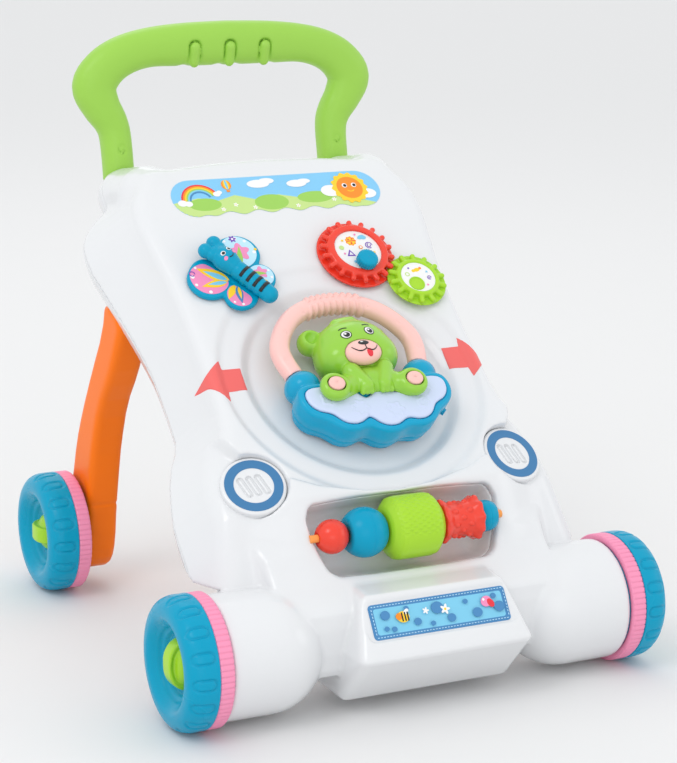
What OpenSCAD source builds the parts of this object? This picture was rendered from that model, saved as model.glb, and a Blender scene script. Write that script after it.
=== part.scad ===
// Baby push walker: a sloping play panel on four wheels, with a U-shaped push handle.
// Millimetres. +Z is up, the play panel faces -Y, and the floor is z = 0.

/* [Body] */
// Slope of the play panel from the floor
panel_angle = 41.2; // [41:0.1:41.4]
// Wall of the moulded shells
wall = 3; // [2.4:0.1:3.4]
// Depth of the front shell, from the panel's face to the seam
seam_depth = 55.6; // [55:0.2:56]

/* [Wheels] */
// Radius of each wheel at the tread
wheel_r = 50; // [49.5:0.1:50]
// Radius of the axle rods
axle_r = 4; // [3.5:0.1:4.5]
// Width of a front wheel
front_wheel_w = 34; // [33:0.5:35]
// Width of a rear wheel
rear_wheel_w = 35; // [34:0.5:36]

/* [Play pieces] */
// Teeth of the large gear
large_teeth = 18; // [18:1:18]
// Teeth of the small gear
small_teeth = 14; // [14:1:14]
// Distance between the two gear centres
gear_distance = 53.3; // [53.2:0.1:53.6]
// Travel of each paw button
button_travel = 2; // [1:0.5:2.5]

/* [Output] */
// Which sub-part to draw

/* [Hidden] */
$fn = 48;
gap = 0.3;
fit = 0.05;
panel_origin = [0, -52.9, 226.9];
seam_w = -seam_depth;
floor_z = 97;
front_axle = [0, -164, 50];
rear_axle = [0, 175, 50];
front_wheel_x = 166.5;
rear_wheel_x = 147;
leg_x = 115.5;
leg_w = 28;
axle_end = 30;
basin_depth = 6;
gear_large_at = [44.5, 106.5];
gear_angle = atan2(-31.5, 43);
gear_small_at = gear_large_at + gear_distance * [cos(gear_angle), sin(gear_angle)];
large_pitch = gear_distance * large_teeth / (large_teeth + small_teeth);
small_pitch = gear_distance - large_pitch;
crank_at = gear_large_at + [1.5, -14];
butterfly_at = [-65, 93];
butterfly_turn = -53.8;
light_at = [110.5, -92.5];
rod_y = -153;
rod_z = 126;
toy_floor = -basin_depth + 0.4;
toy_top = 23;
paw_at = [[-35.5, -37], [30, -39.5]];
paw_top = 37;

// ---- Placing and shaping helpers ----

// x across, y up the panel's slope, z out of its face.
module on_panel() {
    translate(panel_origin) rotate([panel_angle, 0, 0]) children();
}

module at_side(side) {
    if (side < 0) mirror([1, 0, 0]) children();
    else children();
}

// A closed right half outline becomes the full symmetric outline, counter-clockwise.
function whole(half) = concat(half, [for (i = [len(half) - 1:-1:0]) [-half[i][0], half[i][1]]]);

// Shrinks an outline towards the panel's middle by about d on every side.
function shrink(pts, d) = [for (p = pts) [p[0] * (1 - d / 138), 30 + (p[1] - 30) * (1 - d / 190)]];

// Joins rings of the same number of points into one closed solid.
// Each ring runs counter-clockwise seen from the last ring's end.
module loft(rings) {
    n = len(rings[0]);
    last = (len(rings) - 1) * n;
    corners = [for (r = [0:len(rings) - 2]) for (i = [0:n - 1]) [r * n + i, r * n + (i + 1) % n]];
    sides = [for (c = corners) each [[c[0], c[0] + n, c[1] + n], [c[0], c[1] + n, c[1]]]];
    caps = [[for (i = [0:n - 1]) i], [for (i = [n - 1:-1:0]) last + i]];
    polyhedron([for (r = rings) each r], concat(sides, caps), convexity = 6);
}

function at_height(pts, w) = [for (p = pts) [p[0], p[1], w]];

// ---- The body's outside, drawn on the panel ----

face_half = [[88, -215], [88, -112], [92, -84], [104, -58], [110, -34], [111, 6], [109, 40], [112, 70],
    [113, 100], [115, 124], [119, 146], [118, 164], [114, 180], [104, 194], [94, 205]];
edge_half = [[138, -215], [137, -112], [140, -84], [127, -53], [118, -34], [119, 6], [117, 36], [119, 70],
    [121, 98], [123, 122], [127, 144], [128, 163], [126, 182], [114, 199], [104, 213]];
rim_half = [[163, -215], [163, -109], [161, -83], [149, -39], [136, -18], [136, 1], [136, 40], [139, 67],
    [146, 99], [152, 128], [157, 154], [157, 177], [150, 190], [133, 207], [116, 221]];
back_half = shrink(rim_half, 24);

module body_loft(inset) {
    rings = [
        at_height(whole(shrink(back_half, inset)), seam_w - 32 + inset),
        at_height(whole(shrink(rim_half, inset)), seam_w - 3),
        at_height(whole(shrink(rim_half, inset)), seam_w + 3),
        at_height(whole(shrink(edge_half, inset)), -10 - inset / 2),
        at_height(whole(shrink(face_half, inset)), -inset)];
    on_panel() loft(rings);
}

// The two domes that carry the push handle.
module handle_domes(inset) {
    for (side = [-1, 1]) hull() {
        translate([side * 99, 122, 341]) sphere(r = 25 - inset, $fn = 32);
        translate([side * 99, 172, 334]) sphere(r = 23 - inset, $fn = 32);
    }
}

// The panel bends down to a steeper fascia above the bumper, and stops above the base.
module body_outside(inset, bottom) {
    intersection() {
        body_loft(inset);
        rotate([90, 0, 90]) linear_extrude(400, center = true)
            polygon([[-167 - (floor_z - bottom) * 25 / 55 + inset, bottom], [-142 + inset, 152], [-120, 420],
                [220, 420], [220, bottom]]);
    }
}

module in_front_of_seam() {
    intersection() {
        children();
        on_panel() translate([-250, -300, seam_w]) cube([500, 700, 200]);
    }
}

module behind_seam() {
    intersection() {
        children();
        on_panel() translate([-250, -300, seam_w - 200 - 0.1]) cube([500, 700, 200]);
    }
}

// The handle's legs lean back by this much where they enter the domes.
handle_lean = 10;
module along_handle_legs() {
    for (side = [-1, 1]) translate([side * 99.5, 171.4, 300]) rotate([-handle_lean, 0, 0]) children();
}

// Bead window: across x, and along the steep fascia.
window_half = [[66, -27], [72, -22], [80, 20], [77, 27]];
module window_prism(grow, depth_in, depth_out) {
    translate([0, -154.4, 125]) rotate([65.6, 0, 0])
        translate([0, 0, -depth_in]) linear_extrude(depth_in + depth_out)
            polygon([for (p = whole(window_half)) [p[0] + sign(p[0]) * grow, p[1] + sign(p[1]) * grow]]);
}

module basin() {
    on_panel() translate([0, -8, -basin_depth]) cylinder(r1 = 90, r2 = 98, h = 20);
}

module front_shell() {
    color("white") difference() {
        union() {
            in_front_of_seam() difference() {
                body_outside(0, floor_z);
                body_outside(wall, floor_z - 10);
            }
            on_panel() translate([0, -8, -basin_depth - wall]) cylinder(r = 95, h = basin_depth + wall - 1);
        }
        basin();
        handle_domes(-0.1);
        window_prism(0, 40, 30);
        bead_rod_solid(fit);
        on_panel() for (side = [-1, 1])
            translate([side * light_at[0], light_at[1], -30]) cylinder(r = 23.2, h = 60);
    }
}

module rear_shell() {
    color("white") difference() {
        union() {
            behind_seam() body_outside(0, floor_z);
            handle_domes(0);
        }
        body_outside_hollow();
        handle_domes(wall);
        along_handle_legs() cylinder(r = 10.1, h = 90);
        screw_holes();
    }
}

module body_outside_hollow() {
    intersection() {
        body_outside(wall, floor_z + wall);
        on_panel() translate([-250, -300, seam_w - 200]) cube([500, 700, 200.5]);
    }
}

// ---- Base: two barrels and the bumper ----

module barrel(inset) {
    translate([0, front_axle[1], front_axle[2]]) rotate([0, 90, 0]) {
        translate([0, 0, 100]) cylinder(r = 46 - inset, h = 66 - inset);
        translate([0, 0, 84]) cylinder(r1 = 36 - inset, r2 = 46 - inset, h = 16);
        translate([0, 0, 76]) cylinder(r1 = 14 - inset, r2 = 36 - inset, h = 8);
    }
}

module bumper(inset) {
    rotate([90, 0, 90]) linear_extrude(144 - 2 * inset, center = true)
        polygon([[-190 + inset / 3, 11 + inset], [-225 + inset * 1.4, 52 - inset / 4], [-199 + inset, 91.5 - inset],
            [-167 + inset, 94 - inset], [-167 + inset, 100], [-121 - inset, 100], [-121 - inset, 11 + inset]]);
}

module center_box(inset) {
    translate([-104 + inset, -192 + inset, 20 + inset]) cube([208 - 2 * inset, 71 - 2 * inset, 100]);
}

module base_outside(inset) {
    intersection() {
        union() {
            for (side = [-1, 1]) at_side(side) barrel(inset);
            bumper(inset);
            intersection() {
                center_box(inset);
                translate([0, front_axle[1] + 8, front_axle[2]]) rotate([0, 90, 0])
                    cylinder(r = 52 - inset, h = 260, center = true);
            }
        }
        translate([-200, -240, 0]) cube([400, 200, floor_z - 0.2 + (inset > 0 ? 5 : 0)]);
    }
}

module base_housing() {
    color("white") difference() {
        base_outside(0);
        base_outside(wall);
        translate([-190, front_axle[1], front_axle[2]]) rotate([0, 90, 0]) cylinder(r = axle_r, h = 380);
        badge_plate(1.2, 0);
    }
}

module badge_plate(depth, inset) {
    translate([0, -209.6, 75]) rotate([57, 0, 0])
        translate([-57 + inset, -16 + inset, -depth]) cube([114 - 2 * inset, 32 - 2 * inset, depth + 6 - 6 * sign(inset)]);
}

// A tray behind the window, a little wider than it, standing on the base.
module bead_tray() {
    color("white") difference() {
        intersection() {
            above_base(0.3) window_prism(3, 34, -wall);
            body_outside(wall + 0.3, floor_z - 10);
        }
        above_base(2.5) window_prism(1, 32, 30);
        bead_rod_solid(fit);
    }
}

module above_base(height) {
    intersection() {
        children();
        translate([-100, -200, floor_z + height]) cube([200, 150, 80]);
    }
}

module headlight() {
    on_panel() translate([light_at[0], light_at[1], 0]) difference() {
        translate([0, 0, -16]) cylinder(r = 23, h = 12);
        translate([0, 0, -4.8]) difference() {
            cylinder(r = 20, h = 2);
            translate([0, 0, -1]) cylinder(r = 14, h = 4);
        }
        for (i = [-1:1]) translate([i * 6, 0, -4]) rotate([0, 0, 14]) cube([2, 16, 3], center = true);
    }
}

module light_ring() {
    on_panel() translate([light_at[0], light_at[1], -4.8]) difference() {
        cylinder(r = 19.9, h = 1);
        translate([0, 0, -1]) cylinder(r = 14.1, h = 4);
    }
}

// ---- Push handle and rear legs ----

// Centre line of one side: x, y, z, then the half width across the line.
handle_line = [[99.5, 181.8, 359, 12.6], [99.9, 185.6, 380, 13], [103.5, 187.5, 394, 14], [112, 189, 408, 16],
    [117.3, 189.5, 424, 18.2], [108, 189, 438.5, 17.5], [92, 188.5, 448.5, 16.5], [70, 188, 454.3, 16.5],
    [40, 188, 456, 17.8], [12, 188, 456.5, 18.5]];
handle_path = concat(handle_line, [for (i = [len(handle_line) - 1:-1:0])
    [-handle_line[i][0], handle_line[i][1], handle_line[i][2], handle_line[i][3]]]);

function xyz(p) = [p[0], p[1], p[2]];
function heading(path, i) = let (
    a = xyz(path[max(i - 1, 0)]),
    b = xyz(path[min(i + 1, len(path) - 1)])) (b - a) / norm(b - a);
function tube_ring(path, i, half_depth, sides) = let (across = cross(heading(path, i), [0, 1, 0]))
    [for (k = [0:sides - 1]) xyz(path[i]) + path[i][3] * cos(k * 360 / sides) * across
        + half_depth * sin(k * 360 / sides) * [0, 1, 0]];

module handle() {
    color("yellowgreen") {
        loft([for (i = [0:len(handle_path) - 1]) tube_ring(handle_path, len(handle_path) - 1 - i, 13.5, 16)]);
        along_handle_legs() translate([0, 0, 28]) cylinder(r = 10, h = 40);
    }
}

leg_outline = [[65, 253], [78, 226], [94, 198], [118, 168], [133, 130], [139, 105], [146, 72], [150, 40],
    [158, 22], [172, 13], [188, 14], [199, 24], [203, 44], [198, 70], [187, 96], [177, 128], [162, 158],
    [138, 197], [112, 236], [105, 268]];

module rear_leg() {
    difference() {
        translate([leg_x, 0, 0]) rotate([90, 0, 90]) linear_extrude(leg_w) polygon(leg_outline);
        body_outside(-0.15, floor_z - 0.2);
        handle_domes(-0.15);
        translate([leg_x + 3 - fit, rear_axle[1], rear_axle[2]]) rotate([0, 90, 0]) cylinder(r = axle_r + fit, h = 40);
    }
}

// ---- Axles, wheels and hub knobs ----

module front_axle() {
    color("silver") translate([0, front_axle[1], front_axle[2]]) rotate([0, 90, 0])
        cylinder(r = axle_r, h = 2 * (front_wheel_x + axle_end), center = true);
}

module rear_axle() {
    color("silver") translate([leg_x + 3, rear_axle[1], rear_axle[2]]) rotate([0, 90, 0])
        cylinder(r = axle_r, h = rear_wheel_x + axle_end - leg_x - 3);
}

// Turns a profile of [radius, distance outboard] about the axle.
module about_axle(axle, x) {
    translate([x, axle[1], axle[2]]) rotate([0, 90, 0]) rotate_extrude($fn = 64) children();
}

module wheel_profile(w) {
    bore = axle_r + fit;
    polygon([[bore, 3], [10, 3], [10, 17], [40, 17], [40, 0], [44, 0], [44, 11.6], [wheel_r, 11.6],
        [wheel_r, w - 9], [wheel_r - 1.5, w - 4], [wheel_r - 5, w - 1], [wheel_r - 10, w],
        [wheel_r - 14, w - 1], [wheel_r - 17, w - 6], [wheel_r - 18, 21], [24, 20], [bore, 20]]);
}

module front_wheel() {
    color("deepskyblue") about_axle(front_axle, front_wheel_x) wheel_profile(front_wheel_w);
}

module rear_wheel() {
    color("deepskyblue") about_axle(rear_axle, rear_wheel_x) wheel_profile(rear_wheel_w);
}

module tread_ring(axle, x) {
    color("hotpink") about_axle(axle, x)
        polygon([[44.1, 0.2], [wheel_r - 1, 0.2], [wheel_r - 0.2, 1.2], [wheel_r - 0.2, 10.6],
            [wheel_r - 1, 11.5], [44.1, 11.5]]);
}

module hub_knob(axle, x, w) {
    color("limegreen") difference() {
        union() {
            about_axle(axle, x) polygon([[0, 20.4], [17, 20.4], [17, 24], [13, 27], [0, 27]]);
            translate([x + 25, axle[1], axle[2]]) rotate([0, 90, 0]) cylinder(r = 8, h = w - 25.5);
            translate([x + 24, axle[1] - 16, axle[2] - 4]) cube([w - 27, 32, 8]);
        }
        translate([x, axle[1], axle[2]]) rotate([0, 90, 0]) cylinder(r = axle_r + fit, h = axle_end + gap);
    }
}

// ---- Bead rod and beads ----

module bead_rod_solid(grow) {
    translate([-81 - grow, rod_y, rod_z]) rotate([0, 90, 0]) cylinder(r = 3 + grow, h = 162 + 2 * grow);
}

module bead_rod() {
    color("orange") bead_rod_solid(0);
}

module on_rod(x) {
    translate([x, rod_y, rod_z]) rotate([0, 90, 0]) children();
}

module ball_bead(x, r, w) {
    on_rod(x) rotate_extrude() difference() {
        intersection() {
            circle(r = r);
            translate([0, -w / 2]) square([r, w]);
        }
        translate([-r, -r]) square([r + 3 + fit, 2 * r]);
    }
}

module roller_green() {
    color("yellowgreen") on_rod(2.5) {
        rotate_extrude() polygon([[3 + fit, -22.6], [16, -22.6], [19, -19], [23, -17], [23, 17], [19, 19],
            [16, 22.6], [3 + fit, 22.6]]);
        for (i = [0:7]) rotate([0, 0, i * 45]) translate([22, -4, -14]) cube([2.3, 8, 28]);
    }
}

module roller_red() {
    color("red") on_rod(42.5) rotate_extrude() polygon([[3 + fit, -17], [15, -17], [18, -13], [18, -8],
        [13, -4], [13, 4], [18, 8], [18, 13], [15, 17], [3 + fit, 17]]);
}

// ---- Labels and screws ----

module top_label() {
    color("skyblue") on_panel() translate([0, 0, 0.05]) linear_extrude(0.5) {
        translate([-74, 158]) square([148, 38]);
        for (side = [-1, 1]) translate([side * 74, 177]) circle(r = 19);
    }
}

module arrow_labels() {
    color("salmon") on_panel() for (side = [-1, 1]) at_side(side) translate([0, 0, 0.05])
        linear_extrude(0.4) polygon([[88, -8], [100, -9], [100, -16], [107, 0], [100, 16], [100, 10], [88, 10]]);
}

module badge_label() {
    color("steelblue") badge_plate(1.1, 3);
}

screw_spots = [[-90, 130], [90, 130], [-90, 20], [90, 20], [-90, -70], [90, -70]];
module screw_holes() {
    on_panel() for (spot = screw_spots) translate([spot[0], spot[1], seam_w - 40]) cylinder(r = 2.2, h = 20);
}

module shell_screws() {
    color("silver") on_panel() for (spot = screw_spots) translate([spot[0], spot[1], seam_w - 33]) {
        translate([0, 0, -1.5]) cylinder(r = 4, h = 2.2 - gap * 0.5 - 0.2);
        cylinder(r = 2, h = 14);
    }
}

// ---- Gears ----

module gear_outline(teeth, pitch) {
    circle(r = pitch - 2.6, $fn = 64);
    for (i = [0:teeth - 1]) rotate(i * 360 / teeth)
        polygon([[pitch - 3.5, -2.5], [pitch, -1.9], [pitch + 1.9, -1], [pitch + 1.9, 1], [pitch, 1.9],
            [pitch - 3.5, 2.5]]);
}

module gear_large() {
    color("red") on_panel() difference() {
        union() {
            translate([gear_large_at[0], gear_large_at[1], 0.6]) {
                linear_extrude(6) rotate(gear_angle) gear_outline(large_teeth, large_pitch);
                cylinder(r = 24.5, h = 9.4);
            }
            translate([crank_at[0], crank_at[1], 8]) cylinder(r = 3, h = 7);
        }
        difference() {
            translate([gear_large_at[0], gear_large_at[1], 8]) cylinder(r = 20, h = 10);
            translate([crank_at[0], crank_at[1], 7]) cylinder(r = 3, h = 12);
        }
        translate([gear_large_at[0], gear_large_at[1], 0]) cylinder(r = axle_r + fit, h = 7);
    }
}

module gear_large_disc() {
    color("white") on_panel() difference() {
        translate([gear_large_at[0], gear_large_at[1], 8]) cylinder(r = 19.8, h = 1.2);
        translate([crank_at[0], crank_at[1], 7]) cylinder(r = 3.1, h = 12);
    }
}

module gear_knob() {
    color("dodgerblue") on_panel() translate([crank_at[0], crank_at[1], 10.3]) difference() {
        cylinder(r = 8.5, h = 7.7);
        translate([0, 0, -1]) cylinder(r = 3 + fit, h = 6);
    }
}

module gear_small() {
    color("limegreen") on_panel() translate([gear_small_at[0], gear_small_at[1], 0.6]) difference() {
        union() {
            linear_extrude(6) rotate(gear_angle + 180 + 180 / small_teeth) gear_outline(small_teeth, small_pitch);
            cylinder(r = 18, h = 8.4);
        }
        translate([0, 0, 7.4]) cylinder(r = 15, h = 10);
        translate([0, 0, -1]) cylinder(r = axle_r + fit, h = 6.4);
    }
}

module gear_small_disc() {
    color("white") on_panel() translate([gear_small_at[0], gear_small_at[1], 8]) difference() {
        cylinder(r = 14.8, h = 1);
        translate([0, -7, -1]) cylinder(r = 6, h = 4);
    }
}

module gear_pivots() {
    color("silver") on_panel() {
        translate([gear_large_at[0], gear_large_at[1], 0.02]) cylinder(r = axle_r, h = 6);
        translate([gear_small_at[0], gear_small_at[1], 0.02]) cylinder(r = axle_r, h = 5);
    }
}

// ---- Butterfly ----

module butterfly_frame() {
    on_panel() translate([butterfly_at[0], butterfly_at[1], 0]) rotate([0, 0, butterfly_turn]) children();
}

// Wings either side of a body that lies along x, head at -x.
module wing_outline(inset) {
    translate([-12, 19]) circle(r = 18 - inset);
    translate([14, 14]) circle(r = 13 - inset);
    translate([-26 + inset, 4]) square([50 - 2 * inset, 12]);
}

module butterfly_wings() {
    color("dodgerblue") butterfly_frame() difference() {
        translate([0, 0, 1]) linear_extrude(4) {
            wing_outline(0);
            mirror([0, 1]) wing_outline(0);
            translate([-26, -6]) square([50, 12]);
        }
        cylinder(r = axle_r + fit, h = 4);
    }
}

module wing_labels() {
    color("pink") butterfly_frame() for (side = [-1, 1]) at_wing(side)
        translate([0, 0, 5.05]) linear_extrude(0.5) difference() {
            wing_outline(2);
            translate([-50, -10]) square([100, 19]);
        }
}

module at_wing(side) {
    if (side < 0) mirror([0, 1, 0]) children();
    else children();
}

module butterfly_body() {
    color("deepskyblue") butterfly_frame() intersection() {
        union() {
            translate([-22, 0, 10]) rotate([0, 90, 0]) cylinder(r = 7, h = 52);
            translate([-22, 0, 11]) sphere(r = 10);
            translate([30, 0, 10]) sphere(r = 7);
            for (side = [-1, 1]) translate([-34, side * 5, 11]) sphere(r = 5);
        }
        translate([-50, -30, 5.1]) cube([100, 60, 40]);
    }
}

module butterfly_pivot() {
    color("silver") on_panel() translate([butterfly_at[0], butterfly_at[1], 0.02]) cylinder(r = axle_r, h = 3.4);
}

// ---- Lift-off music toy ----

// Each lobe of the cloud: x, y, radius.
cloud_lobes = [[-44, -40, 20], [-26, -52, 20.5], [4, -56, 21.5], [29, -54, 20.5], [46, -41, 19.5]];
module cloud_outline(inset) {
    for (lobe = cloud_lobes) translate([lobe[0], lobe[1]]) circle(r = lobe[2] - inset);
    translate([-44 + inset, -50 + inset]) square([90 - 2 * inset, 23 - 2 * inset]);
}

module ring_puffs() {
    for (side = [-1, 1]) translate([side * 50, -21]) circle(r = 13);
}

module toy_housing() {
    color("deepskyblue") on_panel() difference() {
        union() {
            translate([0, 0, toy_floor + 2.1]) linear_extrude(toy_top - toy_floor - 2.1) cloud_outline(0);
            translate([0, 0, 1]) linear_extrude(toy_top - 3) ring_puffs();
        }
        translate([0, 0, toy_floor]) linear_extrude(toy_top - toy_floor - 2.5) cloud_outline(2.5);
        switch_slot(5.4, 2.4);
        ring_solid(7.5 + fit);
    }
}

module toy_back_cover() {
    color("deepskyblue") on_panel() difference() {
        translate([0, 0, toy_floor]) linear_extrude(2) cloud_outline(0);
        translate([-31, -63, toy_floor - 1]) cube([62, 34, 4]);
    }
}

module battery_door() {
    color("deepskyblue") on_panel() translate([-30.8, -62.8, toy_floor]) cube([61.6, 33.6, 2]);
}

module batteries() {
    color("silver") on_panel() for (i = [-1:1]) translate([-25, -46 + i * 10.7, 3]) rotate([0, 90, 0])
        cylinder(r = 5.2, h = 44.5);
}

module circuit_board() {
    color("darkgreen") on_panel() translate([-30, -60, 11]) cube([50, 28, 1.6]);
}

module speaker() {
    color("dimgray") on_panel() translate([40, -45, 8]) cylinder(r = 14, h = 6);
}

module key_plate() {
    color("lavender") on_panel() translate([0, 0, toy_top + 0.05]) linear_extrude(2) difference() {
        cloud_outline(5);
        translate([-80, -36]) square([160, 60]);
    }
}

// Slot and slider in the housing's lower right lobe.
switch_turn = -50;
module switch_frame() {
    translate([cloud_lobes[4][0], cloud_lobes[4][1], 8]) rotate([0, 0, switch_turn]) children();
}

module switch_slot(half_length, half_height) {
    switch_frame() translate([15.5, -half_length, -half_height]) cube([8, 2 * half_length, 2 * half_height]);
}

module power_switch() {
    color("black") on_panel() switch_frame() translate([16, -2, -2]) cube([4.6, 4, 4]);
}

module bear_solid() {
    translate([2, 2, 6]) sphere(r = 28, $fn = 36);
    for (side = [-1, 1]) translate([2 + side * 26, 20, 8]) sphere(r = 9.5, $fn = 24);
    translate([0, -24, 8]) sphere(r = 22, $fn = 36);
    for (side = [-1, 1]) translate([side * 17, -28, 19]) sphere(r = 14, $fn = 24);
    for (spot = paw_at) translate([spot[0], spot[1], 24]) cylinder(r = 11.5, h = 12);
}

module bear() {
    color("yellowgreen") on_panel() difference() {
        intersection() {
            bear_solid();
            translate([-80, -60, toy_floor + 2.2]) cube([160, 120, 60]);
        }
        translate([0, 0, toy_floor]) linear_extrude(toy_top - toy_floor + 0.2) cloud_outline(-0.1);
        translate([-80, -90, toy_top - 10]) cube([160, 53.9, 12.2]);
        linear_extrude(toy_top + 2.15) difference() {
            cloud_outline(4.9);
            translate([-80, -35.9]) square([160, 60]);
        }
        translate([1, -4, 27]) cylinder(r = 12.6, h = 20);
        for (spot = paw_at) translate([spot[0], spot[1], 30]) cylinder(r = 6.3, h = 20);
    }
}

module bear_muzzle() {
    color("pink") on_panel() translate([1, -4, 27.05]) cylinder(r1 = 12.4, r2 = 9, h = 9);
}

module paw_button(spot) {
    color("pink") on_panel() translate([spot[0], spot[1], 30 + button_travel + gap])
        cylinder(r = 6, h = paw_top - 30 - button_travel - gap);
}

// A ring arc whose ends sit in sockets in the two puffs.
arc_half = [[52, -14], [56.5, 4], [56, 18], [47.5, 33.5], [35, 45.5], [18, 53], [0, 55]];
ring_arc = concat([for (i = [0:5]) [-arc_half[i][0], arc_half[i][1]]], [for (i = [6:-1:0]) arc_half[i]]);
module ring_solid(r) {
    loft([for (i = [0:len(ring_arc) - 1]) let (
        a = ring_arc[max(i - 1, 0)],
        b = ring_arc[min(i + 1, len(ring_arc) - 1)],
        out = [-(b - a)[1], (b - a)[0]] / norm(b - a))
        [for (k = [0:11]) [ring_arc[i][0] + r * cos(k * 30) * out[0], ring_arc[i][1] + r * cos(k * 30) * out[1],
            9 + r * sin(k * 30)]]]);
}

module toy_handle() {
    color("pink") on_panel() ring_solid(7.5);
}

front_shell();
rear_shell();
base_housing();
bead_tray();
color("white") at_side(-1) headlight();  // headlight_left
color("white") headlight();  // headlight_right
color("steelblue") at_side(-1) light_ring();  // light_ring_left
color("steelblue") light_ring();  // light_ring_right
handle();
color("orange") at_side(-1) rear_leg();  // rear_leg_left
color("orange") rear_leg();  // rear_leg_right
front_axle();
at_side(-1) rear_axle();  // rear_axle_left
rear_axle();  // rear_axle_right
bead_rod();
top_label();
arrow_labels();
badge_label();
shell_screws();
butterfly_pivot();
gear_pivots();
toy_housing();
toy_back_cover();
key_plate();
bear();
bear_muzzle();
paw_button(paw_at[0]);  // paw_button_left
paw_button(paw_at[1]);  // paw_button_right
toy_handle();
battery_door();
batteries();
circuit_board();
speaker();
power_switch();
butterfly_body();
butterfly_wings();
wing_labels();
gear_large();
gear_large_disc();
gear_knob();
gear_small();
gear_small_disc();
color("red") ball_bead(-62.9, 13, 23.6);  // bead_red
color("deepskyblue") ball_bead(-36, 19, 29);  // bead_blue_large
roller_green();
roller_red();
color("deepskyblue") ball_bead(67, 12, 14);  // bead_blue_small
at_side(-1) front_wheel();  // wheel_front_left
front_wheel();  // wheel_front_right
at_side(-1) rear_wheel();  // wheel_rear_left
rear_wheel();  // wheel_rear_right
at_side(-1) tread_ring(front_axle, front_wheel_x);  // tread_front_left
tread_ring(front_axle, front_wheel_x);  // tread_front_right
at_side(-1) tread_ring(rear_axle, rear_wheel_x);  // tread_rear_left
tread_ring(rear_axle, rear_wheel_x);  // tread_rear_right
at_side(-1) hub_knob(front_axle, front_wheel_x, front_wheel_w);  // knob_front_left
hub_knob(front_axle, front_wheel_x, front_wheel_w);  // knob_front_right
at_side(-1) hub_knob(rear_axle, rear_wheel_x, rear_wheel_w);  // knob_rear_left
hub_knob(rear_axle, rear_wheel_x, rear_wheel_w);  // knob_rear_right
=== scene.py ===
"""Baby push walker: moulded skins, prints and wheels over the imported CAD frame."""
import math

import bpy
import numpy as np
import openvdb
from mathutils import Matrix, Vector


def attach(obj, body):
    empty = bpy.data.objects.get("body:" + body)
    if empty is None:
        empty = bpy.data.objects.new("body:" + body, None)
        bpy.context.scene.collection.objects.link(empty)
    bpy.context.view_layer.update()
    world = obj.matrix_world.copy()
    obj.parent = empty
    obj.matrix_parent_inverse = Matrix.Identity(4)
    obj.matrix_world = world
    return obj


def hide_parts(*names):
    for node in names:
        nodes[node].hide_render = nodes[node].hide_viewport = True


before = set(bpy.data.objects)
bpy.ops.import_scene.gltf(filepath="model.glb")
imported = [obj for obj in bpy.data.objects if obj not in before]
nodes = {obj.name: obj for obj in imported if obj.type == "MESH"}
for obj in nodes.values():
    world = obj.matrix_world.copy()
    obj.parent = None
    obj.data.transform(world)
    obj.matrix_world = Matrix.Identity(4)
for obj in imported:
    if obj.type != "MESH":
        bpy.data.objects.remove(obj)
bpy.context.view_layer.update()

# Lengths in this script are millimetres until a mesh is made.
MM = 0.001
SLOPE = math.radians(41.2)
PANEL_ORIGIN = np.array([0.0, -52.9, 226.9])
SEAM = -55.6
FLOOR_OF_SHELL = 97.0
FASCIA_ORIGIN = (-154.4, 125.0)
FASCIA_TILT = math.radians(65.6)
BADGE_ORIGIN = (-207.0, 75.0)
BADGE_TILT = math.radians(57)
LAMP_SPOT = (110.5, -92.5)
FRONT_AXLE = (-164.0, 50.0)
REAR_AXLE = (175.0, 50.0)
ROD_LINE = (-153.0, 126.0)


def detail(fine):
    """A cell size or a count of segments, returned at its fine value."""
    return fine


# ---- Distance fields: negative inside, in millimetres ----

def smooth_min(a, b, k):
    h = np.clip(0.5 + 0.5 * (b - a) / k, 0, 1)
    return b + (a - b) * h - k * h * (1 - h)


def smooth_max(a, b, k):
    return -smooth_min(-a, -b, k)


def smooth_step(x, low, high):
    s = np.clip((x - low) / (high - low), 0, 1)
    return s * s * (3 - 2 * s)


def ball(x, y, z, centre, r):
    return np.sqrt((x - centre[0]) ** 2 + (y - centre[1]) ** 2 + (z - centre[2]) ** 2) - r


def egg(x, y, z, centre, radii):
    """An ellipsoid, near enough to a distance for blending."""
    k = np.sqrt(sum(((p - c) / r) ** 2 for p, c, r in zip((x, y, z), centre, radii)))
    return (k - 1) * min(radii) * (1 + 0.3 * (max(radii) / min(radii) - 1))


def capsule(x, y, z, a, b, ra, rb=None):
    """A rounded rod from a to b whose radius runs from ra to rb."""
    rb = ra if rb is None else rb
    d = [q - p for p, q in zip(a, b)]
    length2 = sum(v * v for v in d)
    h = np.clip(((x - a[0]) * d[0] + (y - a[1]) * d[1] + (z - a[2]) * d[2]) / length2, 0, 1)
    away = np.sqrt((x - a[0] - h * d[0]) ** 2 + (y - a[1] - h * d[1]) ** 2 + (z - a[2] - h * d[2]) ** 2)
    return away - ra - (rb - ra) * h


def rounded_box(x, y, z, centre, half, r):
    q = [np.abs(p - c) - h + r for p, c, h in zip((x, y, z), centre, half)]
    outside = np.sqrt(sum(np.maximum(v, 0) ** 2 for v in q))
    return outside + np.minimum(np.maximum(np.maximum(q[0], q[1]), q[2]), 0) - r


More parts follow.
